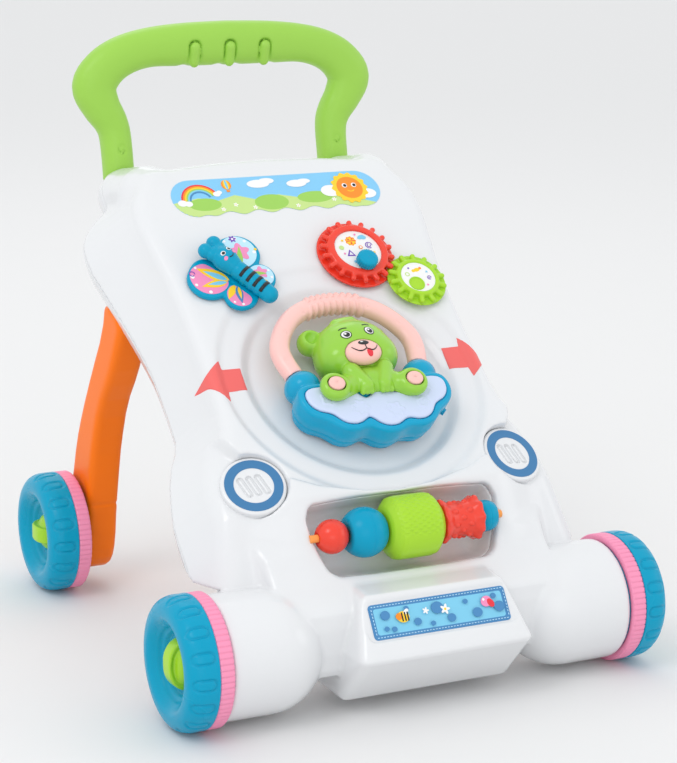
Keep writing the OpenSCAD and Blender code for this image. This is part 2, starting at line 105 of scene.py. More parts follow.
def polygon_field(x, y, points):
    """Distance to a closed outline in the plane."""
    best = np.full(np.broadcast(x, y).shape, 1e9)
    inside = np.zeros(best.shape, bool)
    for (ax, ay), (bx, by) in zip(points, points[1:] + points[:1]):
        dx, dy = bx - ax, by - ay
        h = np.clip(((x - ax) * dx + (y - ay) * dy) / max(dx * dx + dy * dy, 1e-9), 0, 1)
        best = np.minimum(best, (x - ax - h * dx) ** 2 + (y - ay - h * dy) ** 2)
        crosses = ((ay > y) != (by > y)) & (x < ax + (y - ay) * dx / (dy if dy else 1e-9))
        inside ^= crosses
    return np.where(inside, -1, 1) * np.sqrt(best)


def arc_through(points, rounds=2):
    """Rounds an outline's corners by cutting them, keeping its size."""
    for _ in range(rounds):
        cut = []
        for (ax, ay), (bx, by) in zip(points, points[1:] + points[:1]):
            cut += [(ax + share * (bx - ax), ay + share * (by - ay)) for share in (0.25, 0.75)]
        points = cut
    return points


def both_sides(half):
    """The full outline from its right half, listed from the bottom up."""
    return half + [(-x, y) for x, y in reversed(half)]


# ---- Frames and meshes ----

def panel_matrix():
    """x across, y up the panel's slope, z out of its face."""
    turn = Matrix.Rotation(SLOPE, 4, "X")
    return Matrix.Translation(Vector(PANEL_ORIGIN * MM)) @ turn


def on_panel(x, t, w=0.0):
    return panel_matrix() @ Matrix.Translation((x * MM, t * MM, w * MM))


def tilted(origin, tilt):
    """A frame on the middle plane of the walker, leaning back by tilt from lying flat."""
    place = Matrix.Translation((0, origin[0] * MM, origin[1] * MM))
    return place @ Matrix.Rotation(tilt, 4, "X")


def in_tilted(y, z, origin, tilt):
    """Distance up a tilted plane and out of it."""
    c, s = math.cos(tilt), math.sin(tilt)
    dy, dz = y - origin[0], z - origin[1]
    return dy * c + dz * s, dz * c - dy * s


def turned_about(x, y, degrees):
    """The coordinates along axes turned by that many degrees."""
    c, s = math.cos(math.radians(degrees)), math.sin(math.radians(degrees))
    return x * c + y * s, y * c - x * s


def panel_to_row(t, w):
    """The row's y and z of a point up the panel and out of it."""
    c, s = math.cos(SLOPE), math.sin(SLOPE)
    return PANEL_ORIGIN[1] + c * t - s * w, PANEL_ORIGIN[2] + s * t + c * w


def link(mesh, name, material, body="walker", replaced=(), smooth=True):
    obj = bpy.data.objects.new(name, mesh)
    bpy.context.scene.collection.objects.link(obj)
    if smooth:
        mesh.polygons.foreach_set("use_smooth", [True] * len(mesh.polygons))
    if material:
        obj.data.materials.append(material)
    if replaced:
        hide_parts(*replaced)
    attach(obj, body)
    return obj


def grid(low, high, step):
    axes = [np.arange(a, b + step, step) for a, b in zip(low, high)]
    return np.meshgrid(*axes, indexing="ij", sparse=True)


def skin(name, field, low, step, material, place=None, mirrored=False, **rest):
    """Turns a distance field into a smooth mesh. A mirrored field covers x >= 0 only."""
    low = list(low)
    if mirrored:
        field = np.concatenate([field[:0:-1], field])
        low[0] = -step * (field.shape[0] // 2)
    vdb = openvdb.FloatGrid(3 * step)
    vdb.copyFromArray(np.clip(field, -3 * step, 3 * step).astype(np.float32), tolerance=0)
    points, quads = vdb.convertToQuads(0.0)
    points = (points * step + np.array(low)) * MM
    mesh = bpy.data.meshes.new(name)
    mesh.vertices.add(len(points))
    mesh.vertices.foreach_set("co", points.astype(np.float32).ravel())
    mesh.loops.add(quads.size)
    mesh.loops.foreach_set("vertex_index", quads.astype(np.int32).ravel())
    mesh.polygons.add(len(quads))
    mesh.polygons.foreach_set("loop_start", np.arange(0, quads.size, 4, dtype=np.int32))
    mesh.update(calc_edges=True)
    if place is not None:
        mesh.transform(place)
    return link(mesh, name, material, **rest)


# ---- Materials ----

def principled(name, colour, rough, coat=0.0, bump=0.0, bump_scale=400.0, colour_spread=0.03, scale=18.0,
               shine=0.4):
    """Moulded plastic: a faint cloudiness in the colour and in the gloss, and a fine grain."""
    m = bpy.data.materials.new(name)
    m.use_nodes = True
    tree = m.node_tree
    shader = tree.nodes["Principled BSDF"]
    shader.inputs["Coat Weight"].default_value = coat
    shader.inputs["Specular IOR Level"].default_value = shine
    shader.inputs["Coat Roughness"].default_value = 0.08
    coords = tree.nodes.new("ShaderNodeTexCoord")
    noise = tree.nodes.new("ShaderNodeTexNoise")
    noise.inputs["Scale"].default_value = scale
    noise.inputs["Detail"].default_value = 3
    tree.links.new(coords.outputs["Object"], noise.inputs["Vector"])
    ramp = tree.nodes.new("ShaderNodeMapRange")
    ramp.inputs["To Min"].default_value = max(rough - 0.04, 0.02)
    ramp.inputs["To Max"].default_value = rough + 0.06
    tree.links.new(noise.outputs["Fac"], ramp.inputs["Value"])
    tree.links.new(ramp.outputs["Result"], shader.inputs["Roughness"])
    mix = tree.nodes.new("ShaderNodeMix")
    mix.data_type = "RGBA"
    mix.inputs["A"].default_value = (*[c * (1 - colour_spread) for c in colour], 1)
    mix.inputs["B"].default_value = (*[min(c * (1 + colour_spread), 1) for c in colour], 1)
    tree.links.new(noise.outputs["Fac"], mix.inputs["Factor"])
    tree.links.new(mix.outputs["Result"], shader.inputs["Base Color"])
    if bump:
        grain = tree.nodes.new("ShaderNodeTexNoise")
        grain.inputs["Scale"].default_value = bump_scale
        grain.inputs["Detail"].default_value = 4
        tree.links.new(coords.outputs["Object"], grain.inputs["Vector"])
        lift = tree.nodes.new("ShaderNodeBump")
        lift.inputs["Strength"].default_value = bump
        lift.inputs["Distance"].default_value = 0.0004
        tree.links.new(grain.outputs["Fac"], lift.inputs["Height"])
        tree.links.new(lift.outputs["Normal"], shader.inputs["Normal"])
    return m


WHITE = principled("body_white", (0.76, 0.77, 0.785), 0.2, coat=0.3, bump=0.05, colour_spread=0.012)
GREEN = principled("grip_green", (0.33, 0.62, 0.08), 0.36, bump=0.25, bump_scale=900, shine=0.35)
ORANGE = principled("leg_orange", (1.0, 0.19, 0.004), 0.36, bump=0.15, shine=0.2)
BLUE = principled("wheel_blue", (0.0, 0.33, 0.53), 0.26, bump=0.08, shine=0.2)
PINK = principled("tread_pink", (0.92, 0.3, 0.48), 0.42, bump=0.3)
LIME = principled("knob_green", (0.38, 0.68, 0.02), 0.32, coat=0.1, bump=0.08)
STEEL = principled("axle_steel", (0.55, 0.56, 0.58), 0.3, bump=0.1)
STEEL.node_tree.nodes["Principled BSDF"].inputs["Metallic"].default_value = 1
ROD = principled("rod_orange", (1.0, 0.36, 0.08), 0.3, bump=0.1)
TOY_BLUE = principled("toy_blue", (0.0, 0.35, 0.58), 0.2, coat=0.15, bump=0.04, shine=0.25)
LILAC = principled("toy_lilac", (0.6, 0.68, 0.88), 0.32, bump=0.08)
BEAR = principled("bear_green", (0.29, 0.6, 0.045), 0.22, coat=0.35, bump=0.05)
SKIN_PINK = principled("bear_pink", (0.95, 0.55, 0.5), 0.35, bump=0.08)
RING_PINK = principled("ring_pink", (0.95, 0.56, 0.52), 0.3, coat=0.2, bump=0.06)
DARK = principled("dark_plastic", (0.02, 0.02, 0.022), 0.35, bump=0.1)
RED = principled("red_plastic", (0.84, 0.045, 0.02), 0.22, coat=0.3, bump=0.05)
NAVY = principled("print_navy", (0.045, 0.19, 0.4), 0.4)
CORAL = principled("print_coral", (0.84, 0.14, 0.13), 0.42)
PAPER = principled("print_white", (0.86, 0.86, 0.85), 0.4)
BOARD = principled("board_green", (0.03, 0.2, 0.07), 0.5, bump=0.2)
# The tray is the body's own white plastic; its lighter white is painted light, standing in for the light that
# the deep window's hollow lacks.
TRAY_WHITE_PAINTED_LIGHT = principled("tray_white_painted_light", (0.9, 0.9, 0.9), 0.35, bump=0.05, colour_spread=0.01)


# ---- White body ----

# Right halves of outlines on the panel, from the bottom up: the face's edge, the wider rim at the seam, and
# the ridge above the bead window.
EDGE = [(138, -260), (139, -200), (139, -112), (138, -84), (128, -56), (120, -36), (119, 6), (118, 36),
        (119, 70), (121, 98), (124, 122), (127, 144), (128, 163), (125, 182), (116, 199), (104, 211),
        (60, 218), (0, 220)]
RIM = [(163, -260), (163, -200), (163, -109), (161, -83), (151, -45), (137, -20), (136, 1), (136, 40),
       (139, 67), (145, 99), (151, 128), (157, 154), (157, 177), (149, 193), (134, 208), (116, 219),
       (60, 221), (0, 221)]
RIDGE = [(176, -57), (126, -44), (119, -60), (106, -78), (88, -91), (63, -103), (29, -111), (0, -113)]


def panel_height(x, t):
    """How far the moulded face stands above the panel's plane."""
    ridge = polygon_field(x, t, both_sides([(176, -300)] + RIDGE))
    fascia = smooth_step(-ridge, -1.0, 2.6)
    top = 2.6 - 15 * smooth_step(x, 80, 132)
    top = top - 0.36 * np.maximum(-t - 112, 0) - 0.08 * np.maximum(-t - 122, 0)
    from_toy = np.sqrt(x ** 2 + (t + 9) ** 2)
    dish = -5.5 * (1 - smooth_step(from_toy, 80, 91)) - 3.5 * (1 - smooth_step(from_toy, 103, 112))
    dish = dish * (1 - 0.45 * smooth_step(t, 10, 90))
    return dish * (1 - fascia) + fascia * top


WINDOW = both_sides([(66, -30), (73, -24), (82, 18), (79, 28)])
TRAY_EDGE = -9


def window_shape(x, up, out, shrink=0.0):
    """The bead window's hollow: a rounded outline whose walls close in towards a rounded floor."""
    core = [(px * 0.88, py * 0.72) for px, py in WINDOW]
    inside = polygon_field(x, up, arc_through(core, 1)) - 8.5 + shrink
    return smooth_max(inside + 0.3 * np.maximum(-out - 8, 0), -out - 28.5 + shrink, 9)


def window_cut(x, y, z):
    """The opening in the shell, wider below the tray's edge to make room for the tray."""
    up, out = in_tilted(y, z, FASCIA_ORIGIN, FASCIA_TILT)
    wider = np.maximum(window_shape(x, up, out, -2.3), out - TRAY_EDGE)
    return np.minimum(window_shape(x, up, out), wider)


# The side outline of the base between the wheel barrels, as (y, z).
MIDDLE = [(-121, 22), (-186, 28), (-193, 40), (-193, 78), (-186, 86), (-166, 100), (-150, 120), (-121, 120)]


def bumper_field(x, y, z):
    profile = [(-190, 11), (-225, 51.5), (-199, 91.5), (-165, 95), (-121, 95), (-121, 11)]
    body = polygon_field(y, z, [(p[0] + 4 * (p[0] < -150), p[1] * 0.94 + 3) for p in profile]) - 3.5
    width = 72 - 12 * np.clip((z - 51) / 40, 0, 1)
    body = smooth_max(body, x - width, 8)
    up, out = in_tilted(y, z, BADGE_ORIGIN, BADGE_TILT)
    label = np.hypot(np.maximum(x - 56, 0), np.maximum(np.abs(up) - 9, 0)) - 6
    return smooth_max(body, -smooth_max(label, -out - 0.5, 2), 1.5)


def handle_domes(x, y, z):
    """The bulges that the handle's legs plug into."""
    dome = capsule(x, y, z, (99, 120, 341), (99, 168, 335), 25, 22)
    return smooth_min(dome, capsule(x, y, z, (97, 140, 310), (99, 160, 330), 26, 22), 10)


def handle_socket(x, y, z):
    """The leaning round hole in each dome, a little wider than the handle's leg."""
    lean = math.tan(math.radians(10))
    return np.maximum(np.hypot(x - 99.5, (y - 171.4 - (z - 300) * lean) * 0.98) - 14.5, 345 - z)


def panel_body(x, t, w, y, z):
    """The sloping shell, front and back together."""
    across_edge = polygon_field(x, t, arc_through(both_sides(EDGE), 1))
    across_rim = polygon_field(x, t, arc_through(both_sides(RIM), 1))
    drop = np.clip((-9 - w) / (-9 - SEAM), 0, 1)
    share = drop ** 1.25
    side = (1 - share) * across_edge + share * across_rim
    back = np.maximum(SEAM - w, 0)
    side = side + back * 0.35
    shell = smooth_max(side, w - panel_height(x, t), 13)
    shell = smooth_max(shell, -w + SEAM - 31, 22)
    return smooth_min(shell, handle_domes(x, y, z), 7)


def white_body():
    """The front shell with its base and barrels as one moulding, and the rear shell behind the seam."""
    step = detail(1.5)
    low, high = (0, -252, -112), (170, 258, 12)
    x, t, w = grid(low, high, step)
    y, z = panel_to_row(t, w)
    shell = panel_body(x, t, w, y, z)
    bottom = FLOOR_OF_SHELL - z
    front = smooth_max(smooth_max(shell, SEAM + 0.4 - w, 1.5), bottom - 3, 3)
    barrel = smooth_max(capsule(x, y, z, (125, *FRONT_AXLE), (220, *FRONT_AXLE), 46.5), x - 165.8, 3)
    middle = polygon_field(y, z, arc_through(MIDDLE, 1))
    middle = smooth_max(middle, x - 118, 6)
    base = smooth_min(middle, bumper_field(x, y, z), 3)
    front = smooth_min(front, base, 9)
    front = smooth_min(front, barrel, 2)
    front = smooth_max(front, -window_cut(x, y, z), 4)
    spot = np.hypot(x - LAMP_SPOT[0], t - LAMP_SPOT[1]) - 25.5
    front = smooth_max(front, -smooth_max(spot, -w - 12, 1), 1.5)
    front = np.maximum(front, -handle_socket(x, y, z))
    skin("body_front", front, low, step, WHITE, place=panel_matrix(), mirrored=True,
         replaced=("front_shell", "base_housing"))
    rear = smooth_max(smooth_max(shell + 0.9, w - SEAM + 0.4, 1.2), bottom, 3)
    rear = np.maximum(rear, -handle_socket(x, y, z))
    skin("body_rear", rear, low, step, WHITE, place=panel_matrix(), mirrored=True, replaced=("rear_shell",))


def bead_tray():
    """A smooth lining behind the window in the fascia's own frame, whiter than the body as painted light."""
    step = detail(0.9)
    low, high = (0, -40, -34), (92, 40, -6)
    x, up, out = grid(low, high, step)
    tray = np.maximum(window_shape(x, up, out, -2.0), -window_shape(x, up, out, 0.1))
    tray = smooth_max(tray, out - TRAY_EDGE + 0.3, 0.5)
    skin("bead_tray_skin", tray, low, step, TRAY_WHITE_PAINTED_LIGHT, place=tilted(FASCIA_ORIGIN, FASCIA_TILT),
         mirrored=True, replaced=("bead_tray",))


# ---- Small mesh builders ----

def mesh_object(name, points, faces, material, place=None, smooth=True, material_of_face=None, **rest):
    """A mesh from points in millimetres, in one material or in a list of them chosen face by face."""
    mesh = bpy.data.meshes.new(name)
    mesh.from_pydata([tuple(float(v) * MM for v in p) for p in points], [], faces)
    if place is not None:
        mesh.transform(place)
    first = material[0] if isinstance(material, list) else material
    obj = link(mesh, name, first, smooth=smooth, **rest)
    if isinstance(material, list):
        for extra in material[1:]:
            mesh.materials.append(extra)
        for face, index in enumerate(material_of_face):
            mesh.polygons[face].material_index = index
    return obj


def revolve(name, profile, material, segments=96, push=None, place=None, **rest):
    """Turns a closed profile of (radius, height) about z. push(radius, height, angle) adds to each radius."""
    points, faces = [], []
    n = len(profile)
    for s in range(segments):
        angle = 2 * math.pi * s / segments
        for r, h in profile:
            r += push(r, h, angle) if push else 0
            points.append((r * math.cos(angle), r * math.sin(angle), h))
    for s in range(segments):
        for i in range(n):
            a, b = s * n + i, s * n + (i + 1) % n
            c, d = (s + 1) % segments * n + (i + 1) % n, (s + 1) % segments * n + i
            faces.append((a, d, c, b))
    return mesh_object(name, points, faces, material, place=place, **rest)


def oval(cx, cy, rx, ry=None, turn=0.0, count=28):
    ry = rx if ry is None else ry
    around = [2 * math.pi * i / count for i in range(count)]
    spots = [turned_about(rx * math.cos(a), ry * math.sin(a), -turn) for a in around]
    return [(cx + x, cy + y) for x, y in spots]


def box(x0, y0, x1, y1):
    return [(x0, y0), (x1, y0), (x1, y1), (x0, y1)]


def arc(cx, cy, r, start, end, step):
    """Points every so many degrees along part of a circle."""
    turns = [math.radians(a) for a in range(start, end + 1, step)]
    return [(cx + r * math.cos(a), cy + r * math.sin(a)) for a in turns]


def dots(material, *spots):
    """Plain spots of one colour for a print, each as the arguments of an oval."""
    return [(oval(*spot), material) for spot in spots]


def arc_band(cx, cy, inner, outer, start, end, count=20):
    turns = [math.radians(start + (end - start) * i / count) for i in range(count + 1)]
    out = [(cx + outer * math.cos(a), cy + outer * math.sin(a)) for a in turns]
    back = [(cx + inner * math.cos(a), cy + inner * math.sin(a)) for a in reversed(turns)]
    return out + back


def flower(cx, cy, r, petals=5, depth=0.35, count=60):
    around = [2 * math.pi * i / count for i in range(count)]
    radii = [r * (1 + depth * math.cos(petals * a)) for a in around]
    return [(cx + reach * math.cos(a), cy + reach * math.sin(a)) for reach, a in zip(radii, around)]


def anticlockwise(outline):
    twice_area = sum(ax * by - bx * ay for (ax, ay), (bx, by) in zip(outline, outline[1:] + outline[:1]))
    return outline[::-1] if twice_area < 0 else outline


def convex(outline):
    """True for an outline, listed counter-clockwise, that never turns clockwise."""
    n = len(outline)
    for i in range(n):
        (ax, ay), (bx, by), (cx, cy) = outline[i], outline[(i + 1) % n], outline[(i + 2) % n]
        if (bx - ax) * (cy - by) - (by - ay) * (cx - bx) < -1e-6:
            return False
    return True


def petal(x0, y0, x1, y1, width, count=10):
    """A leaf shape from one point to another."""
    dx, dy = x1 - x0, y1 - y0
    length = math.hypot(dx, dy)
    side = [(i / count, width * math.sin(math.pi * (i / count) ** 0.75)) for i in range(1, count)]

    def at(u, v):
        return x0 + dx * u - dy / length * v, y0 + dy * u + dx / length * v
    return [at(0, 0)] + [at(u, -v) for u, v in side] + [at(1, 0)] + [at(u, v) for u, v in reversed(side)]


def print_cap(outline, top, lift, first):
    """The top of a print: flat, or rings and a fan over a curved surface, or a strip of quads for a band."""
    n = len(outline)
    rim = list(range(first, first + n))
    if lift is None:
        return [], [tuple(rim)]
    if not convex(outline):
        return [], [(rim[i], rim[i + 1], rim[n - 2 - i], rim[n - 1 - i]) for i in range(n // 2 - 1)]
    cx, cy = (sum(v) / n for v in zip(*outline))
    points, faces = [], []
    for share in (0.66, 0.33):
        ring = list(range(first + n + len(points), first + 2 * n + len(points)))
        inner = [(cx + share * (x - cx), cy + share * (y - cy)) for x, y in outline]
        points += [(x, y, top + lift(x, y)) for x, y in inner]
        faces += [(rim[i], rim[(i + 1) % n], ring[(i + 1) % n], ring[i]) for i in range(n)]
        rim = ring
    points.append((cx, cy, top + lift(cx, cy)))
    faces += [(rim[i], rim[(i + 1) % n], first + n + len(points) - 1) for i in range(n)]
    return points, faces


def print_label(name, patches, place, base=0.0, layer=0.06, thickness=0.3, lift=None, **rest):
    """Printed shapes on a thin label: each later (outline, material) lies a hair above the one before.

    lift(x, y) is the height of what lies under the label, where that isn't flat.
    """
    materials = []
    points, faces, indices = [], [], []
    for level, (outline, material) in enumerate(patches):
        if material not in materials:
            materials.append(material)
        outline = anticlockwise(outline)
        top = base + thickness + level * layer
        first, n = len(points), len(outline)
        for height in (base if level == 0 else top - 0.25, top):
            points += [(x, y, height + (lift(x, y) if lift else 0)) for x, y in outline]
        more, caps = print_cap(outline, top, lift, first + n)
        points += more
        faces += caps
        faces.append(tuple(reversed(range(first, first + n))))
        for i in range(n):
            a, b = first + i, first + (i + 1) % n
            faces.append((a, b, b + n, a + n))
        indices += [materials.index(material)] * (n + 1 + len(caps))
    return mesh_object(name, points, faces, materials, place=place, smooth=False, material_of_face=indices,
                       **rest)


def ink(name, colour):
    """Printing ink: satin, with a finer and fainter cloudiness than moulded plastic."""
    return principled(name, colour, 0.42, coat=0.15, colour_spread=0.02, scale=60)


SKY = ink("ink_sky", (0.22, 0.57, 0.86))
PALE = ink("ink_pale_blue", (0.5, 0.78, 0.93))
CLOUD = ink("ink_white", (0.88, 0.88, 0.88))
GRASS = ink("ink_grass", (0.33, 0.62, 0.1))
MEADOW = ink("ink_meadow", (0.55, 0.74, 0.25))
SUN = ink("ink_sun", (0.98, 0.62, 0.02))
AMBER = ink("ink_orange", (0.93, 0.27, 0.01))
CRIMSON = ink("ink_red", (0.8, 0.03, 0.05))
VIOLET = ink("ink_violet", (0.18, 0.06, 0.45))
ROSE = ink("ink_pink", (0.87, 0.27, 0.5))
INK = ink("ink_black", (0.01, 0.01, 0.012))
DENIM = ink("ink_denim", (0.06, 0.24, 0.5))
AQUA = ink("ink_aqua", (0.2, 0.58, 0.8))


# ---- Push handle and rear legs ----

# Right half of the handle's middle line from the top centre down to its socket, as (x, z, half width).
HANDLE_LINE = [(0, 456.5, 18.5), (40, 456, 17.8), (70, 454.3, 16.3), (92, 448.5, 16.5), (108, 438.5, 17.5),
               (117.3, 424, 18.5), (112, 408, 16), (103.5, 394, 14), (99.9, 380, 13), (99.5, 346, 12.6)]


def along_curve(points, steps):
    """A smooth curve through the points (Catmull-Rom)."""
    p = [np.array(v, float) for v in points]
    p = [2 * p[0] - p[1]] + p + [2 * p[-1] - p[-2]]
    out = []
    for i in range(1, len(p) - 2):
        for k in range(steps):
            u = k / steps
            out.append(0.5 * (2 * p[i] + (p[i + 1] - p[i - 1]) * u
                              + (2 * p[i - 1] - 5 * p[i] + 4 * p[i + 1] - p[i + 2]) * u ** 2
                              + (3 * p[i] - p[i - 1] - 3 * p[i + 1] + p[i + 2]) * u ** 3))
    return out + [p[-2]]


def curve_field(x, z, line):
    """Distance in the plane to a curve of (x, z, half width), as a share of the half width there."""
    best = np.full(np.broadcast(x, z).shape, 1e9)
    for a, b in zip(line, line[1:]):
        dx, dz = b[0] - a[0], b[1] - a[1]
        h = np.clip(((x - a[0]) * dx + (z - a[1]) * dz) / (dx * dx + dz * dz), 0, 1)
        away = np.hypot(x - a[0] - h * dx, z - a[1] - h * dz) / (a[2] + h * (b[2] - a[2]))
        best = np.minimum(best, away)
    return best


def push_handle():
    """The grip: an oval section along the line, with three finger ridges and a moulded ring at each foot."""
    step = detail(1.2)
    low, high = (0, 160, 342), (142, 212, 480)
    x, y, z = grid(low, high, step)
    line = along_curve([(-20, 456.5, 18.6)] + HANDLE_LINE, 5)
    share = curve_field(x, z, line)
    middle = 188 - 8 * (1 - smooth_step(z, 342, 396))
    depth = np.abs(y - middle) / 13.6
    body = ((share ** 2.3 + depth ** 2.3) ** (1 / 2.3) - 1) * 14
    body = np.maximum(body, 346 - z)
    for place in (0, 32):
        pad = capsule(x, y, z, (place, 175.5, 443), (place, 174.2, 455), 5)
        groove = np.abs(pad) - 0.9
        body = smooth_max(body, -groove, 0.8)
        body = smooth_min(body, capsule(x, y, z, (place, 178.5, 441.5), (place, 175.6, 454), 4.2), 1.5)
        dip = capsule(x, y, z, (place + 7.5, 168, 433.5), (place + 7.5, 205, 435), 4.2)
        body = smooth_max(body, -dip, 4)
    snap = np.abs(capsule(x, y, z, (99.4, 168, 371), (99.4, 170, 373), 3.6)) - 0.45
    body = smooth_max(body, -snap, 0.5)
    skin("push_grip", body, low, step, GREEN, mirrored=True, replaced=("handle",))


# The side outline of a rear leg, as (y, z).
LEG = [(66, 250), (78, 226), (94, 198), (118, 168), (133, 130), (139, 105), (146, 72), (150, 40),
       (158, 22), (172, 13.5), (188, 14.5), (198, 24), (202, 44), (197, 70), (186, 96), (176, 128),
       (161, 158), (137, 197), (111, 236), (104, 264)]


def rear_legs():
    """Two legs with a crease below the bend and a hollow inner side; the left is the right one mirrored."""
    step = detail(1.4)
    low, high = (112, 60, 8), (147, 208, 270)
    x, y, z = grid(low, high, step)
    side = polygon_field(y, z, arc_through(LEG, 1))
    leg = smooth_max(side, np.abs(x - 129.5) - 13.8, 7)
    fold = np.abs(z - 76 + 0.25 * (y - 150)) - 0.4
    leg = leg + 0.7 * (1 - smooth_step(fold, 0, 1.2))
    web = smooth_max(side + 7, 117.5 - x, 1)
    leg = smooth_max(leg, -smooth_max(web, -(118.5 - x), 1), 1)
    for sign, label in ((1, "right"), (-1, "left")):
        mirror = Matrix.Diagonal((sign, 1, 1, 1))
        obj = skin(f"leg_{label}", leg, low, step, ORANGE, place=mirror, replaced=(f"rear_leg_{label}",))
        if sign < 0:
            obj.data.flip_normals()


# ---- Wheels ----

def smooth_line(distance, width):
    """1 on a line, falling softly to 0 at that width from it."""
    share = max(0.0, 1 - distance / width)
    return share * share * (3 - 2 * share)


def slot_push(width):
    """Sixteen outlined slots round the tyre's shoulder, as a change of radius."""
    middle = width * 0.5 + 5.6

    def push(r, h, angle):
        if r < 40 or h < 12.5:
            return 0
        pitch = 2 * math.pi / 16
        off = (angle + pitch / 2) % pitch - pitch / 2
        across = abs(off * 49)
        along = max(abs(h - middle) - 4.2, 0)
        line = abs(math.hypot(across, along) - 4.0)
        return -1.3 * smooth_line(line, 1.5)
    return push


def finely(profile, step):
    """Adds points along a closed profile so that none are further apart than step."""
    out = []
    for (ar, ah), (br, bh) in zip(profile, profile[1:] + profile[:1]):
        count = max(1, int(math.hypot(br - ar, bh - ah) / step))
        out += [(ar + (br - ar) * i / count, ah + (bh - ah) * i / count) for i in range(count)]
    return out


def tyre_profile(width):
    """A wheel's section as (radius, height): tread, round shoulder, ringed dish and hollow inboard side."""
    outer = [(49.8, 11.7), (50, 12.4), (50, 19)]
    shoulder = [(37 + 13 * math.cos(a) ** 0.8, width - 14.5 + 14.5 * math.sin(a) ** 0.9)
                for a in (math.radians(d) for d in range(6, 91, 6))]
    dish = []
    for i in range(23):
        r = 36 - i * 0.95
        slope = width - 11.5 * (1 - math.cos(min((37 - r) / 17, 1) * math.pi)) / 2 - 1.0 * (r < 22)
        dish.append((r, slope + 0.55 * math.cos((r - 16) * 2 * math.pi / 4.2) * (r < 29)))
    inside = [(13, 20.6), (4.05, 20.4), (4.05, 3), (10, 3), (10, 17), (40, 17), (40, 0.2), (44, 0.2),
              (44, 11.7)]
    return outer + shoulder + dish + inside


def on_axle(axle, x, sign):
    """Turns a shape made about z into one about the axle, its outboard side facing away from the body."""
    turn = Matrix.Rotation(math.radians(90 * sign), 4, "Y")
    return Matrix.Translation((sign * x * MM, axle[0] * MM, axle[1] * MM)) @ turn


def knob_skin(name, width, place, turned, **rest):
    """A domed boss with one oval blade across it, bored for the axle's end."""
    step = detail(0.8)
    low, high = (-20, -20, 19), (20, 20, width + 0.5)
    x, y, z = grid(low, high, step)
    a, b = turned_about(x, y, turned)
    boss = smooth_max(np.hypot(a, b) - 16.5 + 0.6 * np.maximum(z - 21, 0), 20.8 - z, 1.5)
    boss = smooth_max(boss, z - 29 + (a * a + b * b) * 0.014, 3)
    oval_share = np.hypot(a / 18.5, (z - 20) / (width - 20.4))
    recess = 1.0 * np.clip((0.84 - oval_share) / 0.08, 0, 1)
    blade = smooth_max((oval_share - 1) * 13, np.abs(b) - 6.8 + recess, 2)
    knob = smooth_min(boss, blade, 2.0)
    knob = smooth_max(knob, 20.8 - z, 1)
    knob = smooth_max(knob, z - width + 0.6, 1.5)
    knob = np.maximum(knob, -np.maximum(np.hypot(x, y) - 4.6, z - 30.6))
    return skin(name, knob, low, step, LIME, place=place, **rest)


def tread_push(r, h, angle):
    """Seventy-two narrow grooves round the pink ring."""
    return -0.75 * max(0, math.cos(72 * angle)) ** 6 * (r > 48)


def wheels():
    """Each spot is a name, an axle, the wheel's inboard face, its side, its width and its knob's turn."""
    spots = (("front_left", FRONT_AXLE, 166.5, -1, 34, 4), ("front_right", FRONT_AXLE, 166.5, 1, 34, 90),
             ("rear_left", REAR_AXLE, 147, -1, 35, 90), ("rear_right", REAR_AXLE, 147, 1, 35, 65))
    rim = [(44.1, 0.4), (49.0, 0.4), (49.8, 1.4), (49.8, 10.4), (49.2, 11.5), (44.1, 11.5)]
    count = detail(512)
    for label, axle, x, sign, width, turned in spots:
        place = on_axle(axle, x, sign)
        wheel = f"wheel_{label}"
        knob = f"knob_{label}"
        revolve(f"tyre_{label}", finely(tyre_profile(width), 1.0), BLUE, count, slot_push(width), place=place,
                body=wheel, replaced=(wheel,))
        revolve(f"tread_skin_{label}", finely(rim, 1.6), PINK, 432, tread_push, place=place, body=wheel,
                replaced=(f"tread_{label}",))
        knob_skin(f"hub_{knob}", width, place, turned, body=knob, replaced=(knob,))


# ---- Beads on their rod ----

def along_rod(x):
    place = Matrix.Translation((x * MM, ROD_LINE[0] * MM, ROD_LINE[1] * MM))
    return place @ Matrix.Rotation(math.radians(90), 4, "Y")


def ball_profile(r, half, seam=0.35):
    """A bored ball cut flat at both ends, with a fine seam round its middle."""
    top = math.acos(min(half / r, 1))
    angles = [top + (math.pi - 2 * top) * i / 40 for i in range(41)]
    outside = [(r * math.sin(a) - seam * (abs(i - 20) < 1), r * math.cos(a)) for i, a in enumerate(angles)]
    return outside[::-1] + [(3.06, half - 0.1), (3.06, -half + 0.1)]


def both_ends(half):
    """The full section of a roller from its upper half, listed from the waist to the bore."""
    return [(r, -h) for r, h in reversed(half[1:])] + half


def green_push(r, h, angle):
    """Rows of small studs on two of the roller's four faces, smooth panels between."""
    if r < 20 or abs(h) > 17.5:
        return 0
    quarter = math.degrees(angle) % 90
    if math.degrees(angle) % 180 < 90:
        across = math.sin(angle * 36) * math.cos(h * math.pi / 3.6)
        return 0.8 * max(0, across) - 0.5
    return -0.5 * max(0, 1 - abs(quarter - 45) / 43 * 0.2) + 0.2


def red_push(r, h, angle):
    """Scalloped rims, and three staggered rows of nubs round the waist."""
    if r < 8:
        return 0
    rim = 0.9 * math.cos(10 * angle) * max(0, abs(h) - 9) / 8
    nub = 0
    for row, turn in ((-6, 0.0), (0, 0.5), (6, 0.0)):
        pitch = 2 * math.pi / 8
        off = (angle + turn * pitch + pitch / 2) % pitch - pitch / 2
        nub = max(nub, 1 - (math.hypot(off * 15, h - row) / 2.4) ** 2)
    return rim + 1.9 * max(0, nub) ** 0.5


def grooves(count, depth, sharpness):
    """Fine lengthwise grooves for a ball, as a change of radius."""
    return lambda r, h, angle: -depth * (r > 6) * max(0, math.cos(count * angle)) ** sharpness


